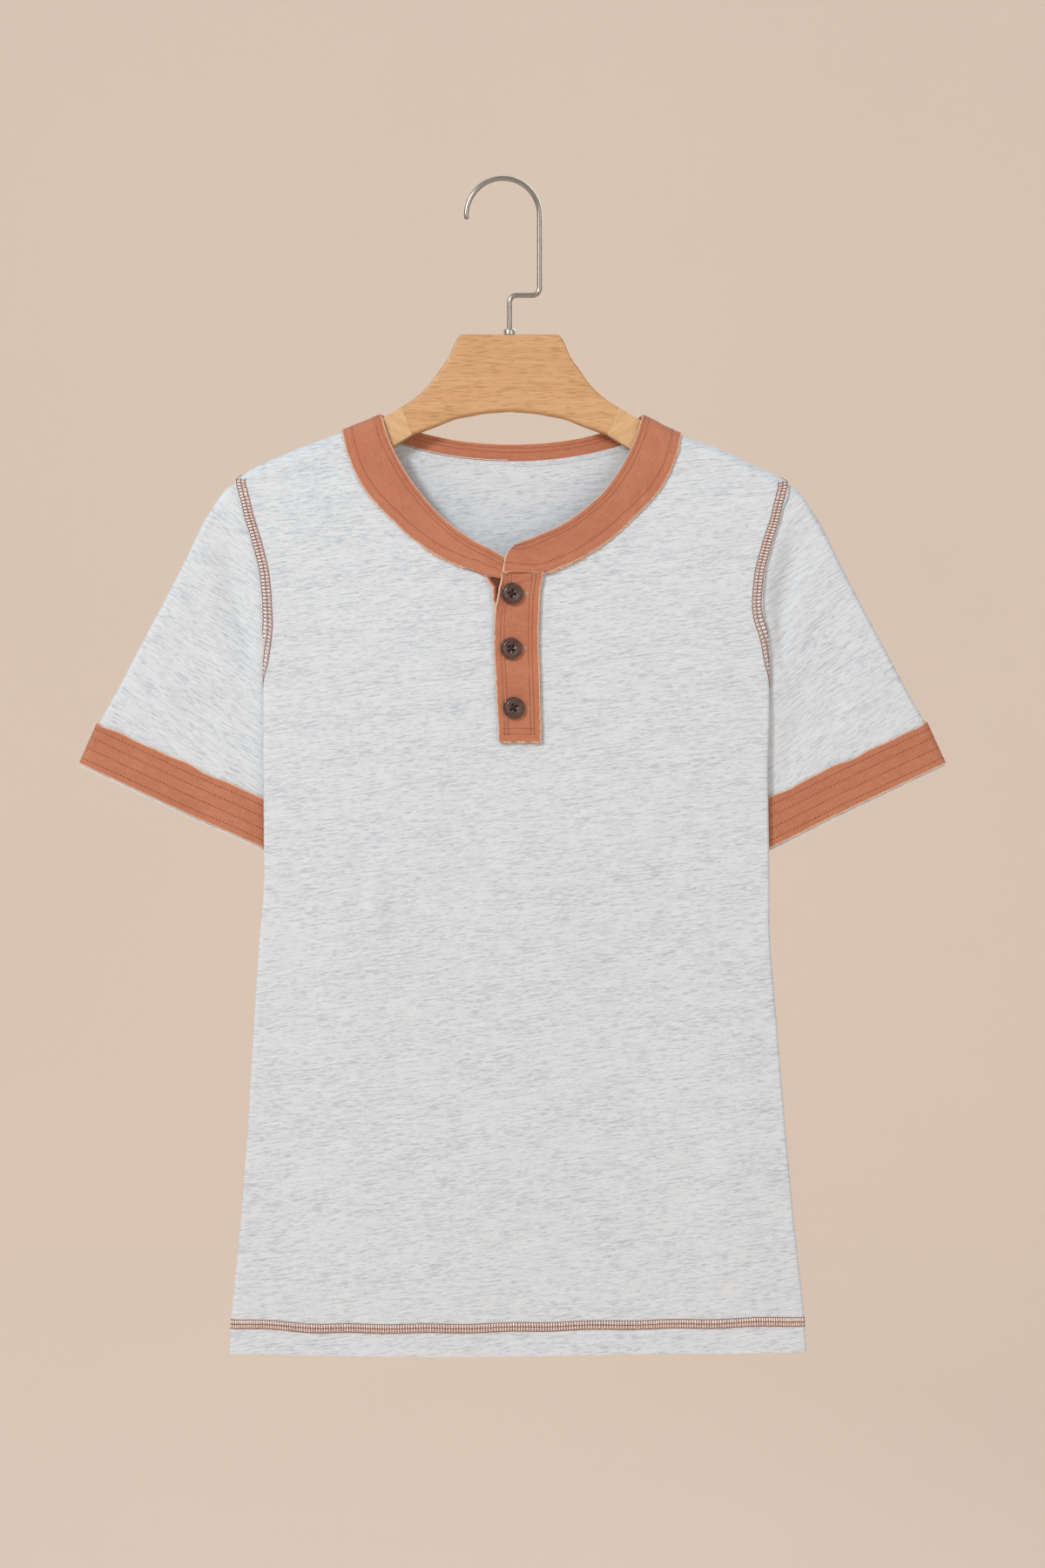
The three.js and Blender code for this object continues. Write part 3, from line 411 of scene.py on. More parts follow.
@dataclass(frozen=True)
class SleeveForm:
    """Where the cloth of a sleeve lies: a flat tube from the armhole to the cuff."""

    body: BodyForm
    underarm_bend: float = 1.7
    underarm_spread: float = 0.09
    head_out: Curve = Curve(((0, 187), (0.11, 181.3), (0.2, 175.3), (0.31, 169.8), (0.41, 168),
        (0.515, 167.4), (0.62, 167.2), (0.695, 166.8), (0.76, 163.5), (0.84, 154), (0.92, 140),
        (1, 123)))
    head_down: Curve = Curve(((0, 208.9), (0.11, 233.7), (0.2, 253), (0.31, 276.5), (0.41, 299.5),
        (0.515, 322), (0.62, 346), (0.695, 362), (0.76, 376), (0.84, 390), (0.92, 401), (1, 407.5)))
    top_out: Curve = Curve(((0, 187), (0.03, 191.5), (0.051, 195.2), (0.086, 200.1), (0.148, 207.2),
        (0.216, 214.5), (0.38, 228.8), (0.553, 244.5), (0.727, 260.5), (0.903, 276.6), (1, 286.2)))
    top_down: Curve = Curve(((0, 208.9), (0.03, 212.8), (0.051, 214.6), (0.086, 219.4),
        (0.148, 228.6), (0.216, 239.7), (0.38, 268.4), (0.553, 298.7), (0.727, 328.9),
        (0.903, 359.2), (1, 376)))
    upper_outer: tuple[float, float] = (286.2, 376)
    upper_inner: tuple[float, float] = (143.4, 442.7)
    lower_outer: tuple[float, float] = (300, 406.6)
    lower_inner: tuple[float, float] = (155.5, 474.7)
    half: Curve = Curve(((0, 8), (0.2, 5.2), (0.5, 4.4), (1, 3.5), (2, 3.2)))
    bend: Curve = Curve(((0, 5.7), (0.2, 4.6), (0.5, 3.6), (1, 3), (2, 3)))
    troughs: tuple[Crease, ...] = (
        Crease((205, 231), (180, 345), 10, -2.8),
        Crease((214, 262), (186, 420), 13, -1.6),
        Crease((238, 300), (214, 400), 12, -1.1),
    )
    creases: tuple[tuple[Hand, Crease], ...] = (
        (Hand.LEFT, Crease((200, 238), (176, 372), 5, -0.9)),
        (Hand.LEFT, Crease((213, 250), (196, 372), 7, 0.7)),
        (Hand.LEFT, Crease((222, 262), (205, 400), 6, -0.5)),
        (Hand.LEFT, Crease((246, 318), (232, 392), 7, 0.45)),
        (Hand.LEFT, Crease((190, 372), (180, 436), 7, -0.6)),
        (Hand.RIGHT, Crease((197, 236), (178, 352), 5, -0.8)),
        (Hand.RIGHT, Crease((208, 240), (196, 330), 6, 0.6)),
        (Hand.RIGHT, Crease((224, 268), (214, 380), 7, -0.5)),
        (Hand.RIGHT, Crease((240, 316), (236, 396), 7, 0.4)),
        (Hand.RIGHT, Crease((196, 360), (184, 430), 8, -0.5)),
    )

    def spot(self, along: Array, part: Array) -> tuple[Array, Array]:
        """Where a point of the flat sleeve is.

        Args:
            along: 0 at the armhole, 1 at the cuff band and 2 at the sleeve's end.
            part: 0 at the upper fold and 1 at the underarm fold.

        Returns:
            Its `out` and its `down`.
        """
        found = []
        curves = ((self.head_out, self.top_out), (self.head_down, self.top_down))
        for axis, (head, top) in enumerate(curves):
            outer, inner = self.upper_outer[axis], self.upper_inner[axis]
            shoulder, underarm = head.rows[0][1], head.rows[-1][1]
            share = np.clip(along, 0, 1)
            corners = mix(mix(shoulder, outer, share), mix(underarm, inner, share), part)
            edges = mix(head(part), mix(outer, inner, part), share)
            lines = mix(top(share), mix(underarm, inner, share), part)
            end = mix(self.lower_outer[axis], self.lower_inner[axis], part)
            band = mix(mix(outer, inner, part), end, along - 1)
            found.append(np.where(along >= 1, band, edges + lines - corners))
        return found[0], found[1]

    def length_round(self, along: Array) -> Array:
        """The distance from the upper fold to the underarm fold."""
        top, bottom = self.spot(along, np.zeros_like(along)), self.spot(along, np.ones_like(along))
        return np.hypot(bottom[0] - top[0], bottom[1] - top[1])

    def room(self, hand: Hand, out: Array, down: Array, side: Side) -> Array:
        """The most half-depth that cloth lying inside the body may have."""
        body = self.body
        edge = body.fold_edge(down)
        curl = np.clip((body.armhole(down) - edge) / body.fold_radius, 0, math.pi)
        inside = np.minimum(out, edge)
        depth = body.half_depth(hand.value * inside, down, side)
        room = depth - body.fold_radius * (1 - np.cos(curl))
        inner = body.gusset_depth(hand.value, inside, down, side)
        room = np.where(curl >= math.pi, np.minimum(room, inner), room)
        clear_of = edge + body.fold_radius + body.layer
        return room - body.layer + 0.35 * np.maximum(0, out - clear_of)

    def seam_ridge(self, out: Array, down: Array) -> Array:
        """The ridge that the armhole's seam allowance raises in the sleeve."""
        past = out - self.body.armhole(down)
        low = 1 - smooth((down - 330) / 40)
        ridge = 0.5 * np.exp(-(((past - 4.5) / 3.2) ** 2))
        return low * (ridge - 0.35 * np.exp(-(((past - 11) / 2.6) ** 2)))

    def middle(self, hand: Hand, along: Array, part: Array, side: Side) -> Array:
        """The middle of the sleeve's cloth on one face."""
        out, down = self.spot(along, part)
        length = self.length_round(along)
        half = self.half(along) + self.seam_ridge(out, down)
        for crease in self.troughs:
            half = half + crease.height(out, down)
        for which, crease in self.creases:
            if which is hand:
                half = half + crease.height(out, down) * (1.5 if side is Side.FRONT else 1.2)
        spread = self.underarm_bend + self.underarm_spread * (1 - part) * length
        full = np.minimum(np.minimum(half, self.room(hand, out, down, side)), spread)
        ends = self.turn(part * length, self.bend(along))
        ends = ends * self.turn((1 - part) * length, self.underarm_bend)
        return self.body.place(hand.value * out, down, side.value * full * ends)

    @staticmethod
    def turn(distance: Array, radius: Array) -> Array:
        """The quarter circle by which a fold turns over."""
        return np.sqrt(1 - (1 - np.clip(distance / radius, 0, 1)) ** 2)

    def shares(self, along: float) -> Array:
        """Places from the upper fold to the underarm fold, closer at the two folds."""
        length = float(self.length_round(np.array(along)))
        bend, tuck = float(self.bend(along)) / length, self.underarm_bend / length
        turns = 1 - np.cos(np.linspace(0, math.pi / 2, 8))
        flat = np.linspace(bend, 1 - tuck, 42)[1:-1]
        return np.concatenate([turns * bend, flat, 1 - (turns * tuck)[::-1]])

    def ring(self, hand: Hand, along: float) -> tuple[Array, Array]:
        """One closed ring round the sleeve.

        Args:
            hand: the left or the right sleeve.
            along: where on the sleeve.

        Returns:
            The points, from the underarm fold over the front and the back to it again, and their
            places in the flat cut.
        """
        parts = self.shares(along)
        front = self.middle(hand, np.full_like(parts, along), parts, Side.FRONT)
        back = self.middle(hand, np.full_like(parts, along), parts, Side.BACK)
        out, down = self.spot(np.full_like(parts, along), parts)
        run = np.subtract(self.lower_inner, self.lower_outer)
        run = run / np.linalg.norm(run)
        off_out, off_down = out - self.lower_outer[0], down - self.lower_outer[1]
        level = off_out * run[0] + off_down * run[1]
        rise = off_out * run[1] - off_down * run[0]
        cut = np.stack([level, rise], axis=-1)
        behind = np.stack([2 * level[0] - level, rise], axis=-1)
        return np.concatenate([front[::-1], back[1:]]), np.concatenate([cut[::-1], behind[1:]])

    def rings(self, hand: Hand, alongs: Array) -> tuple[Array, Array]:
        """Rings for all the places, as a grid of points and a grid of places in the cut."""
        made = [self.ring(hand, float(along)) for along in alongs]
        return np.array([points for points, _ in made]), np.array([cut for _, cut in made])


def ring_normals(grid: Array) -> Array:
    """Outward normals of rings of points round a sleeve, the last point being the first again."""
    ring = grid[:, :-1]
    around = np.roll(ring, -1, axis=1) - np.roll(ring, 1, axis=1)
    normals = unit(np.cross(around, np.gradient(ring, axis=0)))
    if normals[len(ring) // 2, ring.shape[1] // 4, 1] > 0:
        normals = -normals
    return np.concatenate([normals, normals[:, :1]], axis=1)


# Shader nodes


class Value:
    """A shader socket that takes part in plain arithmetic."""

    def __init__(self, graph: "Graph", socket: bpy.types.NodeSocket) -> None:
        """Wraps one output socket of the graph."""
        self.graph, self.socket = graph, socket

    def _math(self, operation: str, first: Any, second: Any = 0.0) -> "Value":
        """One Math node."""
        made = self.graph.node("ShaderNodeMath", {"operation": operation}, {0: first, 1: second})
        return Value(self.graph, made.outputs[0])

    def __add__(self, other: Any) -> "Value":
        """Sum."""
        return self._math("ADD", self, other)

    def __radd__(self, other: Any) -> "Value":
        """Sum with a number on the left."""
        return self._math("ADD", other, self)

    def __sub__(self, other: Any) -> "Value":
        """Difference."""
        return self._math("SUBTRACT", self, other)

    def __rsub__(self, other: Any) -> "Value":
        """Difference from a number."""
        return self._math("SUBTRACT", other, self)

    def __mul__(self, other: Any) -> "Value":
        """Product."""
        return self._math("MULTIPLY", self, other)

    def __rmul__(self, other: Any) -> "Value":
        """Product with a number on the left."""
        return self._math("MULTIPLY", other, self)

    def sine(self) -> "Value":
        """The sine of the value."""
        return self._math("SINE", self)

    def soft_step(self, low: float, high: float) -> "Value":
        """A soft rise from 0 at low to 1 at high."""
        made = self.graph.node("ShaderNodeMapRange", {"interpolation_type": "SMOOTHSTEP"},
            {"Value": self, "From Min": low, "From Max": high})
        return Value(self.graph, made.outputs["Result"])


class Graph:
    """The node tree of one material."""

    def __init__(self, name: str) -> None:
        """Starts a material that holds one Principled surface."""
        self.material = bpy.data.materials.new(name)
        self.material.use_nodes = True
        self.tree = self.material.node_tree
        self.tree.nodes.clear()
        self.surface = self.tree.nodes.new("ShaderNodeBsdfPrincipled")
        output = self.tree.nodes.new("ShaderNodeOutputMaterial")
        self.tree.links.new(self.surface.outputs[0], output.inputs["Surface"])

    def feed(self, socket: bpy.types.NodeSocket, value: Any) -> None:
        """Links a Value or an output to a socket, or sets the socket's own number or colour."""
        if isinstance(value, Value):
            self.tree.links.new(value.socket, socket)
        elif isinstance(value, bpy.types.NodeSocket):
            self.tree.links.new(value, socket)
        else:
            socket.default_value = value

    def node(self, kind: str, settings: dict[str, Any], inputs: dict[Any, Any]) -> bpy.types.Node:
        """Adds a node.

        Args:
            kind: the node's type.
            settings: its own settings, set first.
            inputs: values or links for its sockets, by name or number.

        Returns:
            The node.
        """
        made = self.tree.nodes.new(kind)
        for name, value in settings.items():
            setattr(made, name, value)
        for key, value in inputs.items():
            self.feed(made.inputs[key], value)
        return made

    def place(self, source: str, scale: tuple[float, float, float], turn: float = 0.0) -> Value:
        """Places on the piece, stretched for a pattern.

        Args:
            source: "UV" for the cut cloth or "Object" for the piece itself.
            scale: how often the pattern repeats in a metre, each way.
            turn: how far the pattern is turned, in radians, about Y on a piece and Z on cloth.

        Returns:
            The stretched places.
        """
        place = self.node("ShaderNodeTexCoord", {}, {}).outputs[source]
        angles = (0.0, 0.0, turn) if source == "UV" else (0.0, turn, 0.0)
        turned = self.node("ShaderNodeMapping", {}, {"Vector": place, "Rotation": angles})
        made = self.node("ShaderNodeMapping", {}, {"Vector": turned.outputs[0], "Scale": scale})
        return Value(self, made.outputs[0])

    def noise(self, place: Value, detail: float = 2.0, rough: float = 0.5,
              warp: float = 0.0) -> Value:
        """Soft noise from 0 to 1 at the given places."""
        made = self.node("ShaderNodeTexNoise", {}, {"Vector": place, "Scale": 1.0, "Detail": detail,
            "Roughness": rough, "Distortion": warp})
        return Value(self, made.outputs["Fac"])

    def axis(self, place: Value, name: str) -> Value:
        """One axis of the places."""
        return Value(self, self.node("ShaderNodeSeparateXYZ", {}, {0: place}).outputs[name])

    def attribute(self, name: str) -> Value:
        """A number that the mesh carries."""
        made = self.node("ShaderNodeAttribute", {"attribute_name": name}, {})
        return Value(self, made.outputs["Fac"])

    def blend(self, share: Any, first: Any, second: Any) -> Value:
        """A colour between two colours.

        Args:
            share: 0 for the first and 1 for the second.
            first: a colour as three numbers, or a Value.
            second: the other colour.

        Returns:
            The colour.
        """
        made = self.tree.nodes.new("ShaderNodeMix")
        made.data_type = "RGBA"
        for number, value in ((0, share), (6, first), (7, second)):
            self.feed(made.inputs[number], (*value, 1.0) if isinstance(value, tuple) else value)
        return Value(self, made.outputs[2])

    def raise_surface(self, height: Value, distance: float, strength: float = 1.0) -> None:
        """Gives the surface a relief of the height, `distance` metres deep."""
        made = self.node("ShaderNodeBump", {}, {"Height": height, "Distance": distance,
            "Strength": strength})
        self.feed(self.surface.inputs["Normal"], made.outputs[0])

    def finish(self, **inputs: Any) -> bpy.types.Material:
        """Sets the surface's sockets, by names with underscores for spaces."""
        for name, value in inputs.items():
            full = tuple(value) + (1.0,) if isinstance(value, tuple) and len(value) == 3 else value
            self.feed(self.surface.inputs[name.replace("_", " ")], full)
        return self.material


Colour = tuple[float, float, float]


@dataclass(frozen=True)
class Jersey:
    """Light grey heather jersey with fine streaks across and a knitted surface."""

    name: str = "heather_jersey"
    ground: Colour = (0.638, 0.674, 0.704)
    streak: Colour = (0.35, 0.385, 0.45)
    shade: Colour = (0.53, 0.565, 0.61)
    rise: float = -0.13
    knit_pitch: float = 0.00075

    @lru_cache(maxsize=None)
    def material(self) -> bpy.types.Material:
        """Builds the material."""
        graph = Graph(self.name)
        fine = graph.noise(graph.place("UV", (190, 1300, 1), self.rise), 3.0, 0.62, 0.15)
        long = graph.noise(graph.place("UV", (75, 760, 1), self.rise), 2.0, 0.6, 0.2)
        clusters = graph.noise(graph.place("UV", (16, 80, 1), self.rise), 2.0)
        strands = (fine * 0.55 + long * 0.45 + (clusters - 0.5) * 0.14).soft_step(0.46, 0.64)
        cloud = graph.noise(graph.place("UV", (50, 420, 1), self.rise), 3.0).soft_step(0.38, 0.66)
        colour = graph.blend(cloud * 0.4, self.ground, self.shade)
        colour = graph.blend(strands * 0.7, colour, self.streak)
        repeat = 2 * math.pi / self.knit_pitch
        wales = graph.place("UV", (repeat, repeat / 0.8, 1))
        wave = graph.axis(wales, "X").sine()
        knit = wave * 0.5 + (graph.axis(wales, "Y") + wave).sine() * 0.35
        fuzz = graph.noise(graph.place("UV", (2600, 3400, 1)), 2.0)
        graph.raise_surface(knit * 0.5 + fuzz + strands * 0.4, 0.00012, 0.55)
        return graph.finish(Base_Color=colour, Roughness=0.93, Sheen_Weight=0.12,
            Sheen_Roughness=0.5, Specular_IOR_Level=0.2)


@dataclass(frozen=True)
class Woven:
    """Rust woven cotton, paler along its raw edges (frayed threads, partly a painted highlight on
    the edge) and darkened by painted shade where its raw attribute is below 0.
    """

    name: str = "rust_woven"
    ground: Colour = (0.505, 0.202, 0.115)
    dark: Colour = (0.405, 0.142, 0.076)
    # Pale raw edges: the frayed threads' paler colour, partly a painted highlight along the edge.
    pale: Colour = (0.80, 0.53, 0.39)
    # Painted shade: a near-black brown painted where the raw attribute is below 0, in the groove
    # beside the placket's under strip.
    tucked: Colour = (0.09, 0.025, 0.015)
    thread_pitch: float = 0.00052

    @lru_cache(maxsize=None)
    def material(self) -> bpy.types.Material:
        """Builds the material."""
        graph = Graph(self.name)
        slub = graph.noise(graph.place("UV", (120, 900, 1)), 3.0, 0.6)
        weft = graph.noise(graph.place("UV", (900, 120, 1)), 3.0, 0.6)
        wear = graph.noise(graph.place("UV", (26, 40, 1)), 3.0, 0.6)
        shade = (slub * 0.5 + weft * 0.3 + wear * 0.35).soft_step(0.36, 0.8)
        colour = graph.blend(shade, self.dark, self.ground)
        # The raw attribute: above 0 it paints the pale raw edges, below 0 it paints shade.
        edge = graph.attribute("raw")
        ragged = graph.noise(graph.place("UV", (700, 700, 1)), 2.0)
        # Pale raw edges: paler frayed threads, partly a painted highlight along the edge.
        pale = (edge + (ragged - 0.5) * 0.6).soft_step(0.35, 0.8)
        colour = graph.blend(pale * 0.8, colour, self.pale)
        # Painted shade: below 0 the raw attribute pulls the colour to the near-black brown.
        colour = graph.blend((edge * -1.0).soft_step(0.2, 0.9) * 0.85, colour, self.tucked)
        weave = graph.place("UV", (2 * math.pi / self.thread_pitch,) * 2 + (1,))
        cross = graph.axis(weave, "X").sine() * graph.axis(weave, "Y").sine()
        graph.raise_surface(cross * 0.5 + slub * 1.2 + weft * 0.8, 0.00014, 0.6)
        return graph.finish(Base_Color=colour, Roughness=0.88, Sheen_Weight=0.15,
            Sheen_Roughness=0.45, Specular_IOR_Level=0.25)


@dataclass(frozen=True)
class Thread:
    """Sewing thread, twisted and slightly glossy."""

    name: str
    colour: Colour
    gloss: float = 0.55

    @lru_cache(maxsize=None)
    def material(self) -> bpy.types.Material:
        """Builds the material."""
        graph = Graph(self.name)
        shade = graph.noise(graph.place("Object", (900, 900, 900)), 2.0).soft_step(0.3, 0.7)
        dark = tuple(part * 0.62 for part in self.colour)
        colour = graph.blend(shade, dark, self.colour)
        graph.raise_surface(graph.noise(graph.place("Object", (2600, 2600, 2600)), 1.0), 0.0001,
            0.5)
        return graph.finish(Base_Color=colour, Roughness=self.gloss)


@dataclass(frozen=True)
class Horn:
    """Dark brown button with a soft polish and cloudy streaks."""

    name: str = "button_horn"
    dark: Colour = (0.035, 0.012, 0.009)
    light: Colour = (0.11, 0.042, 0.030)

    @lru_cache(maxsize=None)
    def material(self) -> bpy.types.Material:
        """Builds the material."""
        graph = Graph(self.name)
        cloud = graph.noise(graph.place("Object", (160, 160, 520), 0.6), 4.0, 0.6, 1.2)
        colour = graph.blend(cloud.soft_step(0.35, 0.75), self.dark, self.light)
        fine = graph.noise(graph.place("Object", (1500, 1500, 1500)), 2.0)
        graph.raise_surface(fine, 0.00006, 0.4)
        return graph.finish(Base_Color=colour, Roughness=cloud * 0.16 + 0.3, Coat_Weight=0.3)


@dataclass(frozen=True)
class Beech:
    """Lacquered beech with a straight grain and short dark flecks along it."""

    name: str
    ground: Colour
    grain: Colour
    fleck: Colour
    turn: float = 0.0
    flecks: float = 1.0

    @lru_cache(maxsize=None)
    def material(self) -> bpy.types.Material:
        """Builds the material."""
        graph = Graph(self.name)
        rings = graph.noise(graph.place("Object", (5.5, 60, 150), self.turn), 3.0, 0.55, 0.9)
        fibres = graph.noise(graph.place("Object", (26, 500, 1000), self.turn), 3.0, 0.6)
        marks = graph.noise(graph.place("Object", (95, 800, 1500), self.turn), 1.5, 0.45)
        colour = graph.blend(rings.soft_step(0.38, 0.66) * 0.5, self.ground, self.grain)
        colour = graph.blend(fibres.soft_step(0.46, 0.68) * 0.6, colour, self.grain)
        colour = graph.blend(marks.soft_step(0.55, 0.66) * (0.55 * self.flecks), colour, self.fleck)
        graph.raise_surface(fibres - marks * 0.5, 0.00008, 0.35)
        return graph.finish(Base_Color=colour, Roughness=fibres * 0.12 + 0.48, Coat_Weight=0.05)


@dataclass(frozen=True)
class Steel:
    """Plated steel wire with fine drawn lines."""

    name: str = "plated_steel"
    colour: Colour = (0.33, 0.31, 0.285)

    @lru_cache(maxsize=None)
    def material(self) -> bpy.types.Material:
        """Builds the material."""
        graph = Graph(self.name)
        lines = graph.noise(graph.place("Object", (900, 900, 260)), 3.0)
        spots = graph.noise(graph.place("Object", (150, 150, 150)), 2.0)
        colour = graph.blend(spots.soft_step(0.35, 0.8) * 0.5, self.colour, (0.27, 0.25, 0.23))
        graph.raise_surface(lines, 0.00004, 0.35)
        return graph.finish(Base_Color=colour, Metallic=1.0, Roughness=lines * 0.18 + 0.2)


@dataclass(frozen=True)
class Plain:
    """The studio's matt paint."""

    name: str
    colour: Colour

    @lru_cache(maxsize=None)
    def material(self) -> bpy.types.Material:
        """Builds the material."""
        graph = Graph(self.name)
        tone = graph.noise(graph.place("Object", (1.2, 1.2, 1.2)), 2.0)
        colour = graph.blend(tone, self.colour, tuple(part * 0.95 for part in self.colour))
        return graph.finish(Base_Color=colour, Roughness=0.95, Specular_IOR_Level=0.1)


JERSEY = Jersey()
WOVEN = Woven()
RUST_THREAD = Thread("thread_rust", (0.37, 0.145, 0.09))
CREAM_THREAD = Thread("thread_cream", (0.97, 0.90, 0.86), 0.35)
PINK_THREAD = Thread("thread_pink", (0.96, 0.80, 0.74), 0.4)
# Painted shade: the running-stitch beads are real thread, coloured near-black to stand for the
# shade in their needle holes.
ROW_THREAD_PAINTED_SHADE = Thread("thread_rows_painted_shade", (0.17, 0.05, 0.028))
HOLE_THREAD = Thread("thread_light_rust", (0.68, 0.40, 0.29), 0.5)
PALE_FIBRE = Thread("fibre_pale", (0.86, 0.60, 0.45), 0.7)
WHITE_THREAD = Thread("thread_white", (0.85, 0.86, 0.88), 0.6)
DARK_THREAD = Thread("thread_dark", (0.03, 0.017, 0.014))


# Meshes


def deselect() -> None:
    """Leaves nothing selected or active."""
    for piece in bpy.context.selected_objects:
        piece.select_set(False)
    bpy.context.view_layer.objects.active = None


def activate(piece: bpy.types.Object) -> None:
    """Makes the piece the only one that is selected, and active."""
    deselect()
    piece.select_set(True)
    bpy.context.view_layer.objects.active = piece


def apply_modifier(piece: bpy.types.Object, kind: str, **settings: Any) -> None:
    """Adds a modifier and applies it.

    Args:
        piece: the piece to change.
        kind: the modifier's type.
        settings: its settings.
    """
    modifier = piece.modifiers.new(kind.title(), kind)
    for name, value in settings.items():
        setattr(modifier, name, value)
    activate(piece)
    bpy.ops.object.modifier_apply(modifier=modifier.name)


def dress(piece: bpy.types.Object, finish: Any, slot: str, *nodes: str) -> bpy.types.Object:
    """Finishes a piece: its material, the body it rides on and what it stands for.

    Args:
        piece: the finished mesh.
        finish: the finish that it takes.
        slot: not used.
        nodes: the solids that it replaces.

    Returns:
        The piece.
    """
    piece.data.materials.clear()
    piece.data.materials.append(finish.material())
    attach(piece, "root")
    if nodes:
        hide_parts(*nodes)
    log.info("%s: %d faces", piece.name, len(piece.data.polygons))
    return piece


def mesh_piece(name: str, points: Array, faces: list[Any]) -> bpy.types.Object:
    """A piece of the given points, in millimetres, and faces."""
    mesh = bpy.data.meshes.new(name)
    mesh.from_pydata((np.asarray(points) * MM).tolist(), [], faces)
    piece = bpy.data.objects.new(name, mesh)
    bpy.context.scene.collection.objects.link(piece)
    return piece


@dataclass
class Cloth:
    """One sheet of cloth, gathered from grids of points with their places in the flat cut."""

    name: str
    points: list[Array] = field(default_factory=list)
    cut: list[Array] = field(default_factory=list)
    raw: list[Array] = field(default_factory=list)
    faces: list[Array] = field(default_factory=list)
    area: float = 0.0

    def add(self, points: Array, cut: Array, raw: Array | None = None) -> None:
        """Adds a grid.

        Args:
            points: rows and columns of points in millimetres.
            cut: their places in the flat cut.
            raw: 1 at a raw edge and 0 away from it, with values below 0 where shade is painted in.
        """
        rows, columns = points.shape[:2]
        start = sum(len(part) for part in self.points)
        number = np.arange(rows * columns).reshape(rows, columns) + start
        faces = np.stack([number[:-1, :-1], number[:-1, 1:], number[1:, 1:], number[1:, :-1]],
            axis=-1)
        self.faces.append(faces.reshape(-1, 4))
        self.points.append(points.reshape(-1, 3))
        self.cut.append(cut.reshape(-1, 2))
        self.raw.append(np.zeros(rows * columns) if raw is None else raw.reshape(-1))
        one, other = cut[1:, 1:] - cut[:-1, :-1], cut[1:, :-1] - cut[:-1, 1:]
        self.area += float(np.abs(one[..., 0] * other[..., 1] - one[..., 1] * other[..., 0]).sum()
            / 2)

    def flat(self) -> tuple[float, float]:
        """The width and length of the flat cut, in metres."""
        cut = np.concatenate(self.cut)
        width, length = (cut.max(0) - cut.min(0)) * MM
        return float(width), float(length)

    def build(self, wall: float) -> bpy.types.Object:
        """Makes the sheet as a thin closed wall.

        Args:
            wall: the cloth's thickness in millimetres.

        Returns:
            The piece, with a layer of places in the cut.
        """
        piece = mesh_piece(self.name, np.concatenate(self.points),
            np.concatenate(self.faces).tolist())
        mesh = piece.data
        corner = np.zeros(len(mesh.loops), np.int32)
        mesh.loops.foreach_get("vertex_index", corner)
        places = mesh.uv_layers.new(name="cut")
        places.data.foreach_set("uv", (np.concatenate(self.cut)[corner]
            * MM).astype(np.float32).reshape(-1))
        # The raw attribute carries the pale raw edges above 0 and painted shade below 0.
        edge = mesh.attributes.new("raw", "FLOAT", "POINT")
        edge.data.foreach_set("value", np.concatenate(self.raw).astype(np.float32))
        shape = bmesh.new()
        shape.from_mesh(mesh)
        bmesh.ops.remove_doubles(shape, verts=shape.verts, dist=0.5e-5)
        bmesh.ops.recalc_face_normals(shape, faces=shape.faces)
        shape.to_mesh(mesh)
        shape.free()
        apply_modifier(piece, "SOLIDIFY", thickness=wall * MM, offset=0.0)
        activate(piece)
        bpy.ops.object.shade_smooth_by_angle(angle=math.radians(50))
        return piece


@dataclass
class Threads:
    """Many thin threads gathered into one mesh."""

    name: str
    points: list[Array] = field(default_factory=list)
    faces: list[Any] = field(default_factory=list)

    def add(self, lines: Array, normals: Array, radius: Array, sides: int = 5,
            flat: float = 1.0) -> None:
        """Adds threads of the same number of points.

        Args:
            lines: threads, points and axes, in millimetres.
            normals: the cloth's normals at those points.
            radius: the threads' radius at each point.
            sides: the sides of their section.
            flat: the section's height as a share of its width.
        """
        lines, normals = np.atleast_3d(lines), np.broadcast_to(normals, lines.shape)
        tangent = unit(np.gradient(lines, axis=1))
        sideways = unit(np.cross(tangent, normals))
        upward = np.cross(sideways, tangent) * flat
        angle = 2 * math.pi * np.arange(sides) / sides
        ring = (np.cos(angle)[:, None] * sideways[..., None, :] + np.sin(angle)[:, None]
                * upward[..., None, :])
        size = np.broadcast_to(np.asarray(radius, float), lines.shape[:2])[..., None, None]
        shell = lines[..., None, :] + ring * size
        count, length = lines.shape[:2]
        start = sum(len(part) for part in self.points)
        number = np.arange(count * length * sides).reshape(count, length, sides) + start
        after = np.roll(number, -1, axis=2)
        walls = np.stack([number[:, :-1], number[:, 1:], after[:, 1:], after[:, :-1]], axis=-1)
        self.points.append(shell.reshape(-1, 3))
        self.faces.extend(walls.reshape(-1, 4).tolist())
        self.faces.extend(number[:, 0].tolist())
        self.faces.extend(number[:, -1, ::-1].tolist())

    def beads(self, places: Array, along: Array, normals: Array, length: float, radius: float,
              flat: float = 0.8) -> None:
        """Adds short stitches, each a small bead.

        Args:
            places: their middles.
            along: the directions in which they lie.
            normals: the cloth's normals.
            length: their length.
            radius: their radius.
            flat: their height as a share of their width.
        """
        steps = np.array([-0.5, -0.3, 0.3, 0.5]) * length
        lines = places[:, None] + unit(along)[:, None] * steps[:, None]
        sizes = np.array([0.35, 1.0, 1.0, 0.35]) * radius
        self.add(lines, np.repeat(normals[:, None], 4, axis=1), sizes, 5, flat)

    def build(self) -> bpy.types.Object:
        """Makes the piece, with smooth shading."""
        piece = mesh_piece(self.name, np.concatenate(self.points), self.faces)
        piece.data.polygons.foreach_set("use_smooth", [True] * len(piece.data.polygons))
        return piece


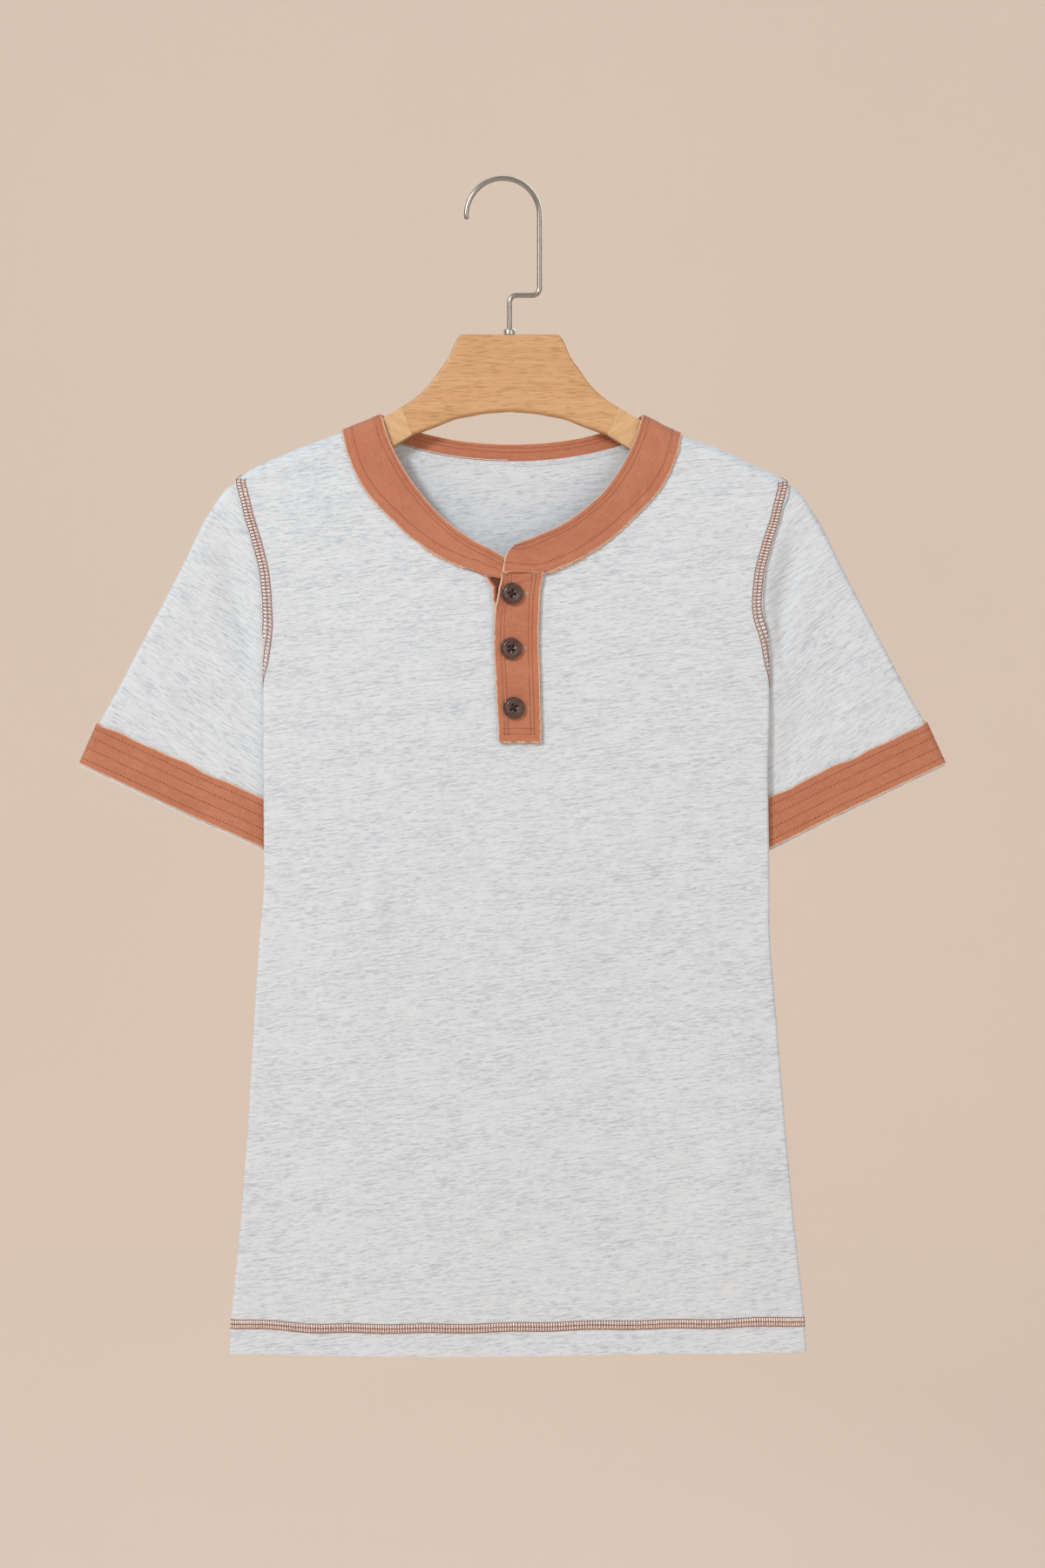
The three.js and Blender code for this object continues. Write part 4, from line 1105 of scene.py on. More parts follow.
def walk(points: Array, normals: Array, pitch: float) -> tuple[Array, Array, Array]:
    """Places at an even pitch along a line on the cloth.

    Args:
        points: the line's points.
        normals: the cloth's normals there.
        pitch: the distance between places.

    Returns:
        The places, the line's directions and the cloth's normals at them.
    """
    length = np.concatenate([[0], np.cumsum(np.linalg.norm(np.diff(points, axis=0), axis=1))])
    at = np.arange(pitch / 2, length[-1], pitch)

    def read(values: Array, where: Array) -> Array:
        """The values at the given lengths along the line."""
        return np.stack([np.interp(where, length, values[:, k]) for k in range(3)], -1)

    along = unit(read(points, at + 0.3) - read(points, at - 0.3))
    return read(points, at), along, unit(read(normals, at))


def fray(threads: Threads, line: Array, outward: Array, normals: Array, chance: np.random.Generator,
         pitch: float = 1.1, reach: float = 1.5, radius: float = 0.14) -> None:
    """Adds loose fibres along a raw edge.

    Args:
        threads: where they are gathered.
        line: the edge's points.
        outward: the directions out of the cloth in its own plane.
        normals: the cloth's normals.
        chance: the seeded random numbers.
        pitch: the mean distance between fibres.
        reach: the mean length of a fibre.
        radius: a fibre's radius at its root.
    """
    places, along, up = walk(line, normals, pitch)
    out = unit(np.stack([np.interp(np.linspace(0, 1, len(places)), np.linspace(0, 1, len(outward)),
        outward[:, k]) for k in range(3)], -1))
    size = (reach * chance.uniform(0.35, 1.3, len(places)))[:, None]
    lean = chance.normal(0, 0.8, (len(places), 1))
    lift = chance.uniform(-0.25, 0.35, (len(places), 1))
    curl = chance.normal(0, 0.45, (len(places), 1))
    places = places + along * chance.uniform(-0.5, 0.5, (len(places), 1)) * pitch
    steps = [places - out * 0.35, places + (out + along * lean * 0.4 + up * lift) * size * 0.5,
             places + (out * 0.9 + along * (lean + curl) + up * lift * 1.4) * size]
    line_up = np.repeat(up[:, None], 3, axis=1)
    threads.add(np.stack(steps, axis=1), line_up, np.array([1.0, 0.86, 0.5]) * radius, 4)


# Cloth pieces


@dataclass(frozen=True)
class BodyPanels:
    """The front and back panels, each cut in one piece with its folded-in sides."""

    form: BodyForm
    neck_front: NeckEdge
    neck_back: NeckEdge
    jersey_step: float = 12.0
    slit: float = 0.6
    slit_end: float = 386.0
    seam_forward: float = 3.6
    seam_gap: float = 0.08
    bend_drop: float = 11.5

    def rows(self, neck: NeckEdge, angles: tuple[float, ...], level: float) -> tuple[Array, ...]:
        """The rows of a panel, from the hem to the last full row below the ridge.

        Args:
            neck: the neck's edge.
            angles: where the rows of the shoulder strap meet the neck, in degrees.
            level: how far down the armhole the row through the neck's lowest point ends.

        Returns:
            The inner ends' out and down, the outer ends' out and down, and how level each row is.
        """
        form = self.form
        _, deepest = neck.point(np.array(math.pi / 2), self.jersey_step)
        neck_down = float(form.down_at(0.0, deepest))
        lower = np.linspace(form.hem_down, form.underarm_down, 96, endpoint=False)
        rise = np.linspace(0, 1, 34)
        middle = mix(form.underarm_down, neck_down, rise)
        middle_outer = mix(form.underarm_down, level, rise**1.5)
        share = np.linspace(0, 1, 40)[1:]
        stops = np.arange(len(angles) + 2) / (len(angles) + 1)
        table = np.linspace(0, math.pi / 2, 1500)
        last = float(np.interp(self.bend_drop, neck.point(table, self.jersey_step)[1], table))
        turn = np.radians(np.interp(share, stops, (90.0, *angles, math.degrees(last))))
        strap_out, strap_drop = neck.point(turn, self.jersey_step)
        bend_down = float(form.down_at(form.shoulder_tip, self.bend_drop))
        strap_outer = mix(level, bend_down, share)
        tip = smooth((share - 0.8) / 0.2)
        return (np.concatenate([lower * 0, middle * 0, strap_out]),
            np.concatenate([lower, middle, form.down_at(strap_out, strap_drop)]),
            np.concatenate([form.side_seam(lower), form.armhole(middle_outer),
            mix(form.armhole(strap_outer), form.shoulder_tip, tip)]),
            np.concatenate([lower, middle_outer, strap_outer]), np.concatenate([lower * 0 + 1,
            middle * 0 + 1, 1 - share]))

    def columns(self, inner: Array, outer: Array, outer_down: Array) -> Array:
        """Places across each row, closer where the cloth turns in."""
        form = self.form
        edge = form.fold_edge(outer_down)
        spread = 5 + 20 * smooth((310 - outer_down) / 60)
        turn_start = np.minimum(edge, outer - spread)
        turn_end = np.minimum(edge + form.fold_arc, outer - spread / 5)
        rise = np.maximum(mix(turn_end, outer, 0.5), outer - form.gusset_rise)

        def run(start: Array, end: Array, count: int) -> Array:
            """Even places from the start up to the end, without the end itself."""
            return start + (end - start) * np.linspace(0, 1, count, endpoint=False)

        parts = [run(inner, turn_start, 46), run(turn_start, turn_end, 10), run(turn_end, rise, 5),
                 run(rise, outer, 4), outer]
        return np.concatenate(parts, axis=1)

    def panel(self, name: str, neck: NeckEdge, angles: tuple[float, ...], level: float,
              slit_end: float) -> bpy.types.Object:
        """Builds one panel.

        Args:
            name: the piece's name, which is the name of the solid that it replaces.
            neck: the neck's edge.
            angles: where the rows of the shoulder strap meet the neck, in degrees.
            level: how far down the armhole the row through the neck's lowest point ends.
            slit_end: how far down the neck's slit ends, or 0 for none.

        Returns:
            The panel.
        """
        form, side = self.form, neck.side
        inner, inner_down, outer, outer_down, level_share = self.rows(neck, angles, level)
        seam = self.seam_forward * (1 if side is Side.FRONT else -1) + self.seam_gap
        ridge = np.array([drop for drop in (9.5, 7.5, 5.6, 3.75, 1.9, 0.0, -1.8) if drop > seam]
            + [seam])
        ridge_in = neck.at_drop(np.maximum(ridge, 0), self.jersey_step)
        inner = np.concatenate([inner, ridge_in])[:, None]
        inner_down = np.concatenate([inner_down, form.down_at(ridge_in, ridge)])[:, None]
        outer = np.concatenate([outer, ridge * 0 + form.shoulder_tip])[:, None]
        outer_down = np.concatenate([outer_down, form.down_at(form.shoulder_tip, ridge)])[:, None]
        level_share = np.concatenate([level_share, ridge * 0])[:, None]
        inner = np.where((inner == 0) & (inner_down < slit_end), self.slit / 2, inner)
        out = self.columns(inner, outer, outer_down)
        share = (out - inner) / (outer - inner)
        straight = mix(form.drop_at(inner, inner_down), form.drop_at(outer, outer_down), share)
        drop = mix(straight, form.drop_at(out, mix(inner_down, outer_down, share)), level_share)
        cloth = Cloth(f"{name}_cloth")
        for hand in Hand:
            down = form.down_at(out, drop)
            low = np.clip((down - 600) / (form.hem_down - 600), 0, 1) ** 3
            fall = drop + low * form.hem_wave(hand.value * np.minimum(out, 205))
            points = form.middle(hand.value * out, fall, side)
            shift = CUT_STEP * (side is Side.BACK)
            cut = np.stack([hand.value * out + shift, -form.down_at(out, fall)], axis=-1)
            cloth.add(points, cut)
        piece = dress(cloth.build(form.wall), JERSEY, "jersey", name)
        return piece

    def build(self) -> None:
        """Builds both panels."""
        self.panel("front_panel", self.neck_front, (78, 64, 50, 36, 24, 14), 272, self.slit_end)
        self.panel("back_panel", self.neck_back, (72, 52, 34), 240, 0)


@dataclass(frozen=True)
class Sleeves:
    """Both sleeves with their woven cuff bands and the bands' rows of running stitch."""

    form: SleeveForm
    band_from: float = 1.03
    band_to: float = 1.95
    band_length: float = 32.0
    rows: tuple[float, ...] = (1.17, 1.37, 1.6, 1.82)
    row_pitch: float = 2.3

    def sleeve(self, hand: Hand) -> None:
        """Builds one sleeve."""
        alongs = np.concatenate([np.linspace(0, 1, 46), np.linspace(1, 2, 9)[1:]])
        points, cut = self.form.rings(hand, alongs)
        cloth = Cloth(f"sleeve_{hand.word}_cloth")
        cloth.add(points, cut + [2000.0 + CUT_STEP * hand.value, 0])
        piece = dress(cloth.build(self.form.body.wall), JERSEY, "jersey", f"sleeve_{hand.word}")

    def band_grid(self, hand: Hand, alongs: Array) -> tuple[Array, Array]:
        """The band's middle surface.

        Args:
            hand: the left or the right band.
            alongs: where its rings are.

        Returns:
            The points and their normals.
        """
        points, _ = self.form.rings(hand, alongs)
        normals = ring_normals(points)
        return points + normals * self.form.body.layer, normals

    def band(self, hand: Hand) -> None:
        """Builds one cuff band and sews it on."""
        alongs = np.linspace(self.band_from, self.band_to, 31)
        points, normals = self.band_grid(hand, alongs)
        turn = np.linspace(0, 1, points.shape[1])
        around = np.cumsum(np.linalg.norm(np.diff(points[15], axis=0, prepend=points[15, :1]),
            axis=1))
        cut = np.stack(np.broadcast_arrays(around, -self.band_length * alongs[:, None]), axis=-1)
        upper = np.exp(-((alongs[:, None] - self.band_from) / 0.06) ** 2)
        wave = 0.9 * np.sin(turn * 41 + hand.value) * np.sin(turn * 17) + 0.4 * np.sin(turn * 97)
        slope = unit(np.gradient(points, axis=0))
        points = points - slope * (upper * wave)[..., None]
        sunk = sum(np.exp(-((alongs - row) / 0.03) ** 2) for row in self.rows)[:, None]
        puff = 0.12 * np.sin(turn * 150 + 5 * np.sin(alongs[:, None] * 9)) * np.sin(turn * 31)
        points = points + normals * (-0.1 * sunk + puff * (1 - sunk))[..., None]
        ends = np.minimum(alongs - self.band_from, self.band_to - alongs)[:,
            None] * self.band_length
        # Pale edges at both ends of the band: fray colour, partly a painted highlight along the
        # edge.
        raw = np.broadcast_to(np.exp(-ends / 0.45), points.shape[:2])
        cloth = Cloth(f"cuff_band_{hand.word}_woven")
        cloth.add(points, cut + [4000.0 + CUT_STEP * hand.value, 0], raw)
        piece = dress(cloth.build(self.form.body.wall), WOVEN, "woven_band",
            f"cuff_band_{hand.word}")
        fray_threads = Threads(f"cuff_fray_{hand.word}")
        chance = np.random.default_rng(40 + hand.value)
        fray(fray_threads, points[0], points[0] - points[2], normals[0], chance, 1.6, 1.0)
        fray(fray_threads, points[-1], points[-1] - points[-3], normals[-1], chance, 2.4, 0.8)
        fibres = dress(fray_threads.build(), PALE_FIBRE, "woven_band")
        rows = Threads(f"cuff_rows_{hand.word}")
        for row in self.rows:
            wander = 0.008 * np.sin(turn * 9 + row * 5)
            at = np.interp(row + wander, alongs, np.arange(len(alongs)))
            low = at.astype(int)
            column = np.arange(points.shape[1])
            line = mix(points[low, column], points[low + 1, column], (at - low)[:, None])
            places, along, up = walk(line, normals[low, column], self.row_pitch)
            slant = unit(along + 0.35 * np.cross(up, along))
            rows.beads(places + up * (self.form.body.wall / 2 + 0.02), slant, up, 1.15, 0.33)
        stitches = dress(rows.build(), ROW_THREAD_PAINTED_SHADE, "woven_band")

    def build(self) -> None:
        """Builds both sleeves and both bands."""
        for hand in Hand:
            self.sleeve(hand)
            self.band(hand)


@dataclass(frozen=True)
class NeckBand:
    """The woven band laid on the neck, with its raw ends crossed over the placket."""

    form: BodyForm
    neck_front: NeckEdge
    neck_back: NeckEdge
    width_back: float = 27.0
    lowest: float = 273.5
    end_left: Curve = Curve(((0, -3), (0.72, -3.2), (0.88, -8.2), (1, -8.8)))
    end_right: Curve = Curve(((0, 4.6), (0.04, 1.4), (0.1, -0.9), (0.2, -3.1), (0.36, -5),
        (0.6, -6.2), (1, -6.7)))
    hanging: dict[Hand, Curve] = field(default_factory=lambda: {
        Hand.LEFT: Curve(((-60, -3), (-30, -3.2), (-17, 1.4), (-9, 3), (0, 3.1))),
        Hand.RIGHT: Curve(((-6.7, -0.9), (6, -1.2), (22, -0.7), (28, -1.5), (40, 0)))})
    inner_left: Curve = Curve(((76, 0), (84, 2), (90, 3.6)))
    inner_right: Curve = Curve(((28, 0), (40, -0.4), (48, -2.2), (60, -4.7), (72, -7.2),
        (82, -7.4), (90, -6.5)))
    outer_front: Curve = Curve(((10, 27), (45, 25.5), (60, 22.3), (66, 20.6), (72, 19.2),
        (78, 19.8), (90, 22)))
    rise: float = 24.0
    inner_rows: tuple[float, ...] = (2.8, 5.6)
    outer_rows: tuple[float, ...] = (4.2, 7)
    row_pitch: float = 1.6

    @property
    def lift(self) -> float:
        """How far the band's middle stands off the body's cloth."""
        return self.form.layer + 0.1

    def row(self, neck: NeckEdge, hand: Hand, angle: float | None, drop: float | None,
            end: Curve | None = None) -> tuple[Array, Array]:
        """Places across the band, from its inner edge to its outer one.

        Args:
            neck: the neck's edge.
            hand: the left or right half.
            angle: where along the neck, in radians, or None.
            drop: where along the neck over the ridge, or None.
            end: the cut end's line, where the row is an end.

        Returns:
            The places across the shirt and their drops.
        """
        share = np.linspace(0, 1, 28)
        offset = share * self.width_back
        if neck.side is Side.FRONT:
            degrees = math.degrees(angle or 0.0)
            inner = self.inner_right if hand is Hand.RIGHT else self.inner_left
            offset = mix(inner(degrees), self.outer_front(degrees), share)
        if angle is None:
            out = np.array([float(neck.at_drop(drop, float(step))) for step in offset])
            fall = np.full_like(offset, drop)
        else:
            out, fall = neck.point(np.full_like(offset, angle), offset)
        places = hand.value * out if end is None else end(share)
        if neck.side is Side.FRONT:
            lowest = self.lowest + self.hanging[hand](places)
            fall = np.minimum(fall, self.form.drop_at(np.abs(places), lowest))
        return places, fall

    def half(self, hand: Hand) -> tuple[Array, Array]:
        """One half of the band, from its cut end in front to the centre of the back.

        Args:
            hand: the left or right half.

        Returns:
            A grid of points and the grid of their normals.
        """
        end = self.end_right if hand is Hand.RIGHT else self.end_left
        first = self.row(self.neck_front, hand, math.pi / 2, None, end)
        second = self.row(self.neck_front, hand, math.radians(80), None)
        rows = [tuple(mix(a, b, t) for a, b in zip(first, second)) for t in np.linspace(0, 1,
            9)[:-1]]
        rows += [self.row(self.neck_front, hand, math.radians(a), None) for a in np.linspace(80, 17,
            64)]
        last = self.neck_front.point(np.array(math.radians(17)), 0.0)[1]
        front_drops = np.linspace(float(last), 0, 12)[1:]
        back_first = self.neck_back.point(np.array(math.radians(30)), 0.0)[1]
        rows += [self.row(self.neck_front, hand, None, drop) for drop in front_drops]
        fronts = len(rows)
        rows += [self.row(self.neck_back, hand, None, drop)
                 for drop in np.linspace(0, float(back_first), 9)[1:-1]]
        rows += [self.row(self.neck_back, hand, math.radians(a), None) for a in np.linspace(30, 90,
            44)]
        grids = []
        for side, part in ((Side.FRONT, rows[:fronts]), (Side.BACK, rows[fronts:])):
            across, drop = (np.array([row[k] for row in part]) for k in (0, 1))
            lift = self.lift + np.zeros_like(across)
            if side is Side.FRONT:
                over = 1 - smooth((np.abs(across) - 22) / self.rise)
                ends = 1 - smooth((across - 4) / self.rise) if hand is Hand.RIGHT else 0.0
                lift = lift + self.form.layer * (over + ends)
            grids.append(self.form.on(across, drop, side, lift))
        return tuple(np.concatenate([grids[0][k], grids[1][k]]) for k in (0, 1))

    def build(self) -> None:
        """Builds the band, its raw edges and its rows of running stitch."""
        left, right = self.half(Hand.LEFT), self.half(Hand.RIGHT)
        points = np.concatenate([left[0], right[0][-2::-1]])
        normals = np.concatenate([left[1], right[1][-2::-1]])
        step = np.linalg.norm(np.diff(points[:, 14], axis=0), axis=1)
        along = np.concatenate([[0], np.cumsum(step)])
        wide = np.concatenate([np.zeros((len(points), 1)), np.cumsum(np.linalg.norm(np.diff(points,
            axis=1), axis=2), axis=1)], axis=1)
        spots = [np.full(len(points), row) for row in self.inner_rows]
        spots += [wide[:, -1] - row for row in self.outer_rows]
        sunk = sum(np.exp(-((wide - spot[:, None]) / 1.0) ** 2) for spot in spots)
        length = along[:, None]
        puff = 0.16 * np.sin(length / 3.1 + 2 * np.sin(wide / 6)) * np.sin(length / 17.0)
        drawn = 0.2 * np.sin(length / 7.7) * np.sin(length / 29.0 + wide / 9)
        points = points + normals * (-0.07 * sunk + 1.3 * (puff + drawn) * (1 - 0.6 * sunk))[...,
            None]
        outward = unit(points[:, -1] - points[:, -3])
        inward = unit(points[:, 0] - points[:, 2])
        chance = np.random.default_rng(7)
        jag = np.interp(along, np.arange(0, along[-1] + 2, 2.0), chance.normal(0, 0.28,
            int(along[-1] / 2) + 2))
        points[:, -1] += outward * jag[:, None]
        edge = np.minimum(np.minimum(wide[:, -1:] - wide, wide * 1.8),
            np.minimum(length, along[-1] - length))
        edge = np.maximum(edge, 0)
        cloth = Cloth("neckband_woven")
        cut = np.stack(np.broadcast_arrays(length, -wide), axis=-1) + [0, 3000.0]
        # Pale raw edges: fray colour, partly a painted highlight along the edge.
        cloth.add(points, cut, np.exp(-edge / 0.4))
        piece = dress(cloth.build(self.form.wall), WOVEN, "woven_band", "neckband")
        loose = Threads("neckband_fray")
        fray(loose, points[:, -1], outward, normals[:, -1], chance, 1.15, 1.3)
        fray(loose, points[:, 0], inward, normals[:, 0], chance, 4.5, 0.8)
        for end, back in ((0, 2), (-1, -3)):
            fray(loose, points[end], points[end] - points[back], normals[end], chance, 1.5, 0.9)
        lower = np.flatnonzero((points[:, -1, 2] < -255) & (points[:, -1, 1] < 0))
        for part in (lower[lower < len(points) / 2], lower[lower > len(points) / 2]):
            fray(loose, points[part, -1], outward[part], normals[part, -1], chance, 0.5, 1.6, 0.3)
        fibres = dress(loose.build(), PALE_FIBRE, "woven_band")
        rows, pale_row = Threads("neckband_rows"), Threads("neckband_pale_row")
        for number, spot in enumerate(spots):
            wander = spot + 0.35 * np.sin(along / 23.0 + number)
            column = np.array([np.interp(w, wide[k], np.arange(wide.shape[1])) for k,
                w in enumerate(wander)])
            low = np.minimum(column.astype(int), wide.shape[1] - 2)
            every = np.arange(len(points))
            line = mix(points[every, low], points[every, low + 1], (column - low)[:, None])
            places, direction, up = walk(line, normals[every, low], self.row_pitch)
            slant = unit(direction + 0.3 * np.cross(up, direction))
            kind, size = (pale_row, 0.24) if number == len(self.inner_rows) else (rows, 0.3)
            kind.beads(places + up * (self.form.wall / 2 - 0.02), slant, up, 3.0 * size, size)
            inside = (places[:, 1] > 0) & (number < len(self.inner_rows))
            kind.beads(places[inside] - up[inside] * (self.form.wall / 2 - 0.02), slant[inside],
                -up[inside], 3.0 * size, size)
        stitches = dress(rows.build(), ROW_THREAD_PAINTED_SHADE, "woven_band")
        specks = dress(pale_row.build(), HOLE_THREAD, "woven_band")


@dataclass(frozen=True)
class Placket:
    """The two woven strips of the front opening, with their stitches and buttonholes."""

    form: BodyForm
    top_start: float = 270.5
    top_end: float = 390.2
    under_start: float = 266.0
    under_end: float = 385.0
    top_left: Curve = Curve(((270, -6.7), (278, -7.4), (289, -9.3), (294.4, -10.4), (300, -11.5),
        (308, -12.1), (322, -12.2), (335, -11.7), (352.7, -10.7), (390.2, -9.3)))
    top_right: Curve = Curve(((270, 21.6), (276.5, 21), (285, 19.7), (298, 18.8), (322, 18.3),
        (352.7, 19.2), (390.2, 19.9)))
    under_left: Curve = Curve(((266, -19.6), (275, -18.3), (280.8, -14.9), (283.5, -12.9),
        (289, -12.9), (296, -12.4), (303, -10.6), (330, -8.6), (385, -7.5)))
    under_right: Curve = Curve(((266, 13), (278, 14), (300, 14), (330, 14), (385, 14)))
    buttons: tuple[tuple[float, float], ...] = ((0.2, 287.6), (-0.5, 325.5), (1.2, 366.4))
    row_pitch: float = 1.4

    def surface(self, across: Array, down: Array, lift: float) -> tuple[Array, Array]:
        """Points that stand off the front of the shirt."""
        return self.form.on(across, self.form.drop_at(np.abs(across), down), Side.FRONT,
            np.full_like(across, lift))

    def strip(self, name: str, start: float, end: float, left: Curve, right: Curve, layers: int,
              seed: int) -> None:
        """Builds one strip.

        Args:
            name: the piece's name, which is the solid's.
            start: how far down it begins.
            end: how far down it ends.
            left: its left edge.
            right: its right edge.
            layers: how many layers of cloth lie under it.
            seed: the seed of its raw edges.
        """
        chance = np.random.default_rng(seed)
        down = np.linspace(start, end, 78)[:, None]
        share = np.linspace(0, 1, 27)

        def ragged(size: float) -> Array:
            """Small jags along an edge."""
            return np.repeat(chance.normal(0, size, 39), 2)[:, None]

        low, high = left(down) + ragged(0.16), right(down) + ragged(0.16)
        across = mix(low, high, share)
        down = down + 0.35 * np.sin(share * 19 + seed) * smooth((down - end + 6) / 6)
        points, normals = self.surface(across, down, layers * self.form.layer)
        cut = np.stack(np.broadcast_arrays(across, -down), axis=-1)
        top = layers == 2
        height = np.zeros_like(across)
        # The under strip's curled left edge: it lifts the cloth there and also marks where shade is
        # painted in the groove beside it.
        curl = smooth((down - 274) / 5) * smooth((306 - down) / 12) * (not top)
        if top:
            for crease in (Crease((0, 282), (17, 271), 1.0, 0.75),
                           Crease((2, 284.5), (19, 274), 1.2, -0.5),
                           Crease((-4, 300), (14, 300), 2.5, 0.3),
                           Crease((-2, 344), (16, 341), 3, 0.3),
                           Crease((-6, 306), (2, 318), 2, 0.3),
                           Crease((6, 352), (16, 360), 2, -0.3)):
                height = height + crease.height(across, down)
            for line in self.row_lines(down):
                height = height - 0.05 * np.exp(-(((across - line) / 0.9) ** 2))
            open_part = smooth((down - 272) / 5) * smooth((306 - down) / 12)
            height = height + 2.2 * open_part * np.exp(-((across - low) / 1.3))
        else:
            height = height + 2.6 * curl * np.exp(-(((across - low - 0.8) / 1.4) ** 2))
        height = height + 0.08 * np.sin(down / 2.1) * np.sin(across / 3.0 + down / 9)
        points = points + normals * height[..., None]
        edge = np.minimum(np.minimum(across - low, high - across),
            np.minimum(down - start, end - down))
        cloth = Cloth(f"{name}_woven")
        # Pale raw edges, less painted shade: beside the under strip's curl the value goes below 0
        # and the material paints that groove near-black.
        raw = np.exp(-np.maximum(edge, 0) / 0.25) - 1.3 * curl * smooth((across - low - 1.6) / 1.2)
        cloth.add(points, cut + [900.0 * layers, 0], raw)
        piece = dress(cloth.build(self.form.wall), WOVEN, "woven_band", name)
        loose = Threads(f"{name}_fray")
        fray(loose, points[:, 0], points[:, 0] - points[:, 2], normals[:, 0], chance, 1.3, 0.9)
        fray(loose, points[:, -1], points[:, -1] - points[:, -3], normals[:, -1], chance, 2.6, 0.7)
        fray(loose, points[-1], points[-1] - points[-3], normals[-1], chance, 0.8, 1.1)
        extra = [dress(loose.build(), PALE_FIBRE, "woven_band")]
        if top:
            extra += [self.rows(), self.buttonholes()]

    def row_lines(self, down: Array) -> tuple[Array, ...]:
        """The places across of the rows of running stitch."""
        left, right = self.top_left(down), self.top_right(down)
        return left + 4.4, left + 7, right - 4.4, right - 7

    def rows(self) -> bpy.types.Object:
        """Builds the rows of running stitch down both edges and across the lower end."""
        rows = Threads("placket_rows")
        down = np.linspace(self.top_start + 1, self.top_end - 5, 60)
        lift = 2 * self.form.layer
        lines = [(across, down) for across in self.row_lines(down)]
        span = np.linspace(0.1, 0.86, 30)
        for up in (9.5, 5.6):
            level = np.full_like(span, self.top_end - up)
            lines.append((mix(self.top_left(level), self.top_right(level), span), level))
        for across, level in lines:
            points, normals = self.surface(across, level, lift)
            places, along, up = walk(points, normals, self.row_pitch)
            slant = unit(along + 0.4 * np.cross(up, along))
            rows.beads(places + up * (self.form.wall / 2 - 0.03), slant, up, 0.75, 0.3)
        return dress(rows.build(), ROW_THREAD_PAINTED_SHADE, "woven_band")

    def buttonholes(self) -> bpy.types.Object:
        """Builds the worked edges of the three buttonholes."""
        holes = Threads("buttonhole_stitches")
        lift = 2 * self.form.layer + self.form.wall / 2 + 0.08
        for across, level in self.buttons:
            steps = np.arange(-6.0, 10.6, 0.45)
            for offset in (-0.6, 0.6):
                points, normals = self.surface(across + steps, np.full_like(steps, level + offset),
                    lift)
                beads = np.zeros_like(points) + [0.0, 0.0, 1.0]
                holes.beads(points, beads, normals, 0.9, 0.2)
            for end in (-6.4, 10.9):
                bar = np.linspace(-0.8, 0.8, 4)
                points, normals = self.surface(np.full_like(bar, across + end), level + bar, lift)
                holes.beads(points, np.zeros_like(points) + [1.0, 0.0, 0.0], normals, 0.9, 0.22)
        return dress(holes.build(), HOLE_THREAD, "woven_band")

    def build(self) -> None:
        """Builds both strips."""
        self.strip("placket_under", self.under_start, self.under_end, self.under_left,
            self.under_right, 1, 3)
        self.strip("placket_top", self.top_start, self.top_end, self.top_left, self.top_right, 2, 4)


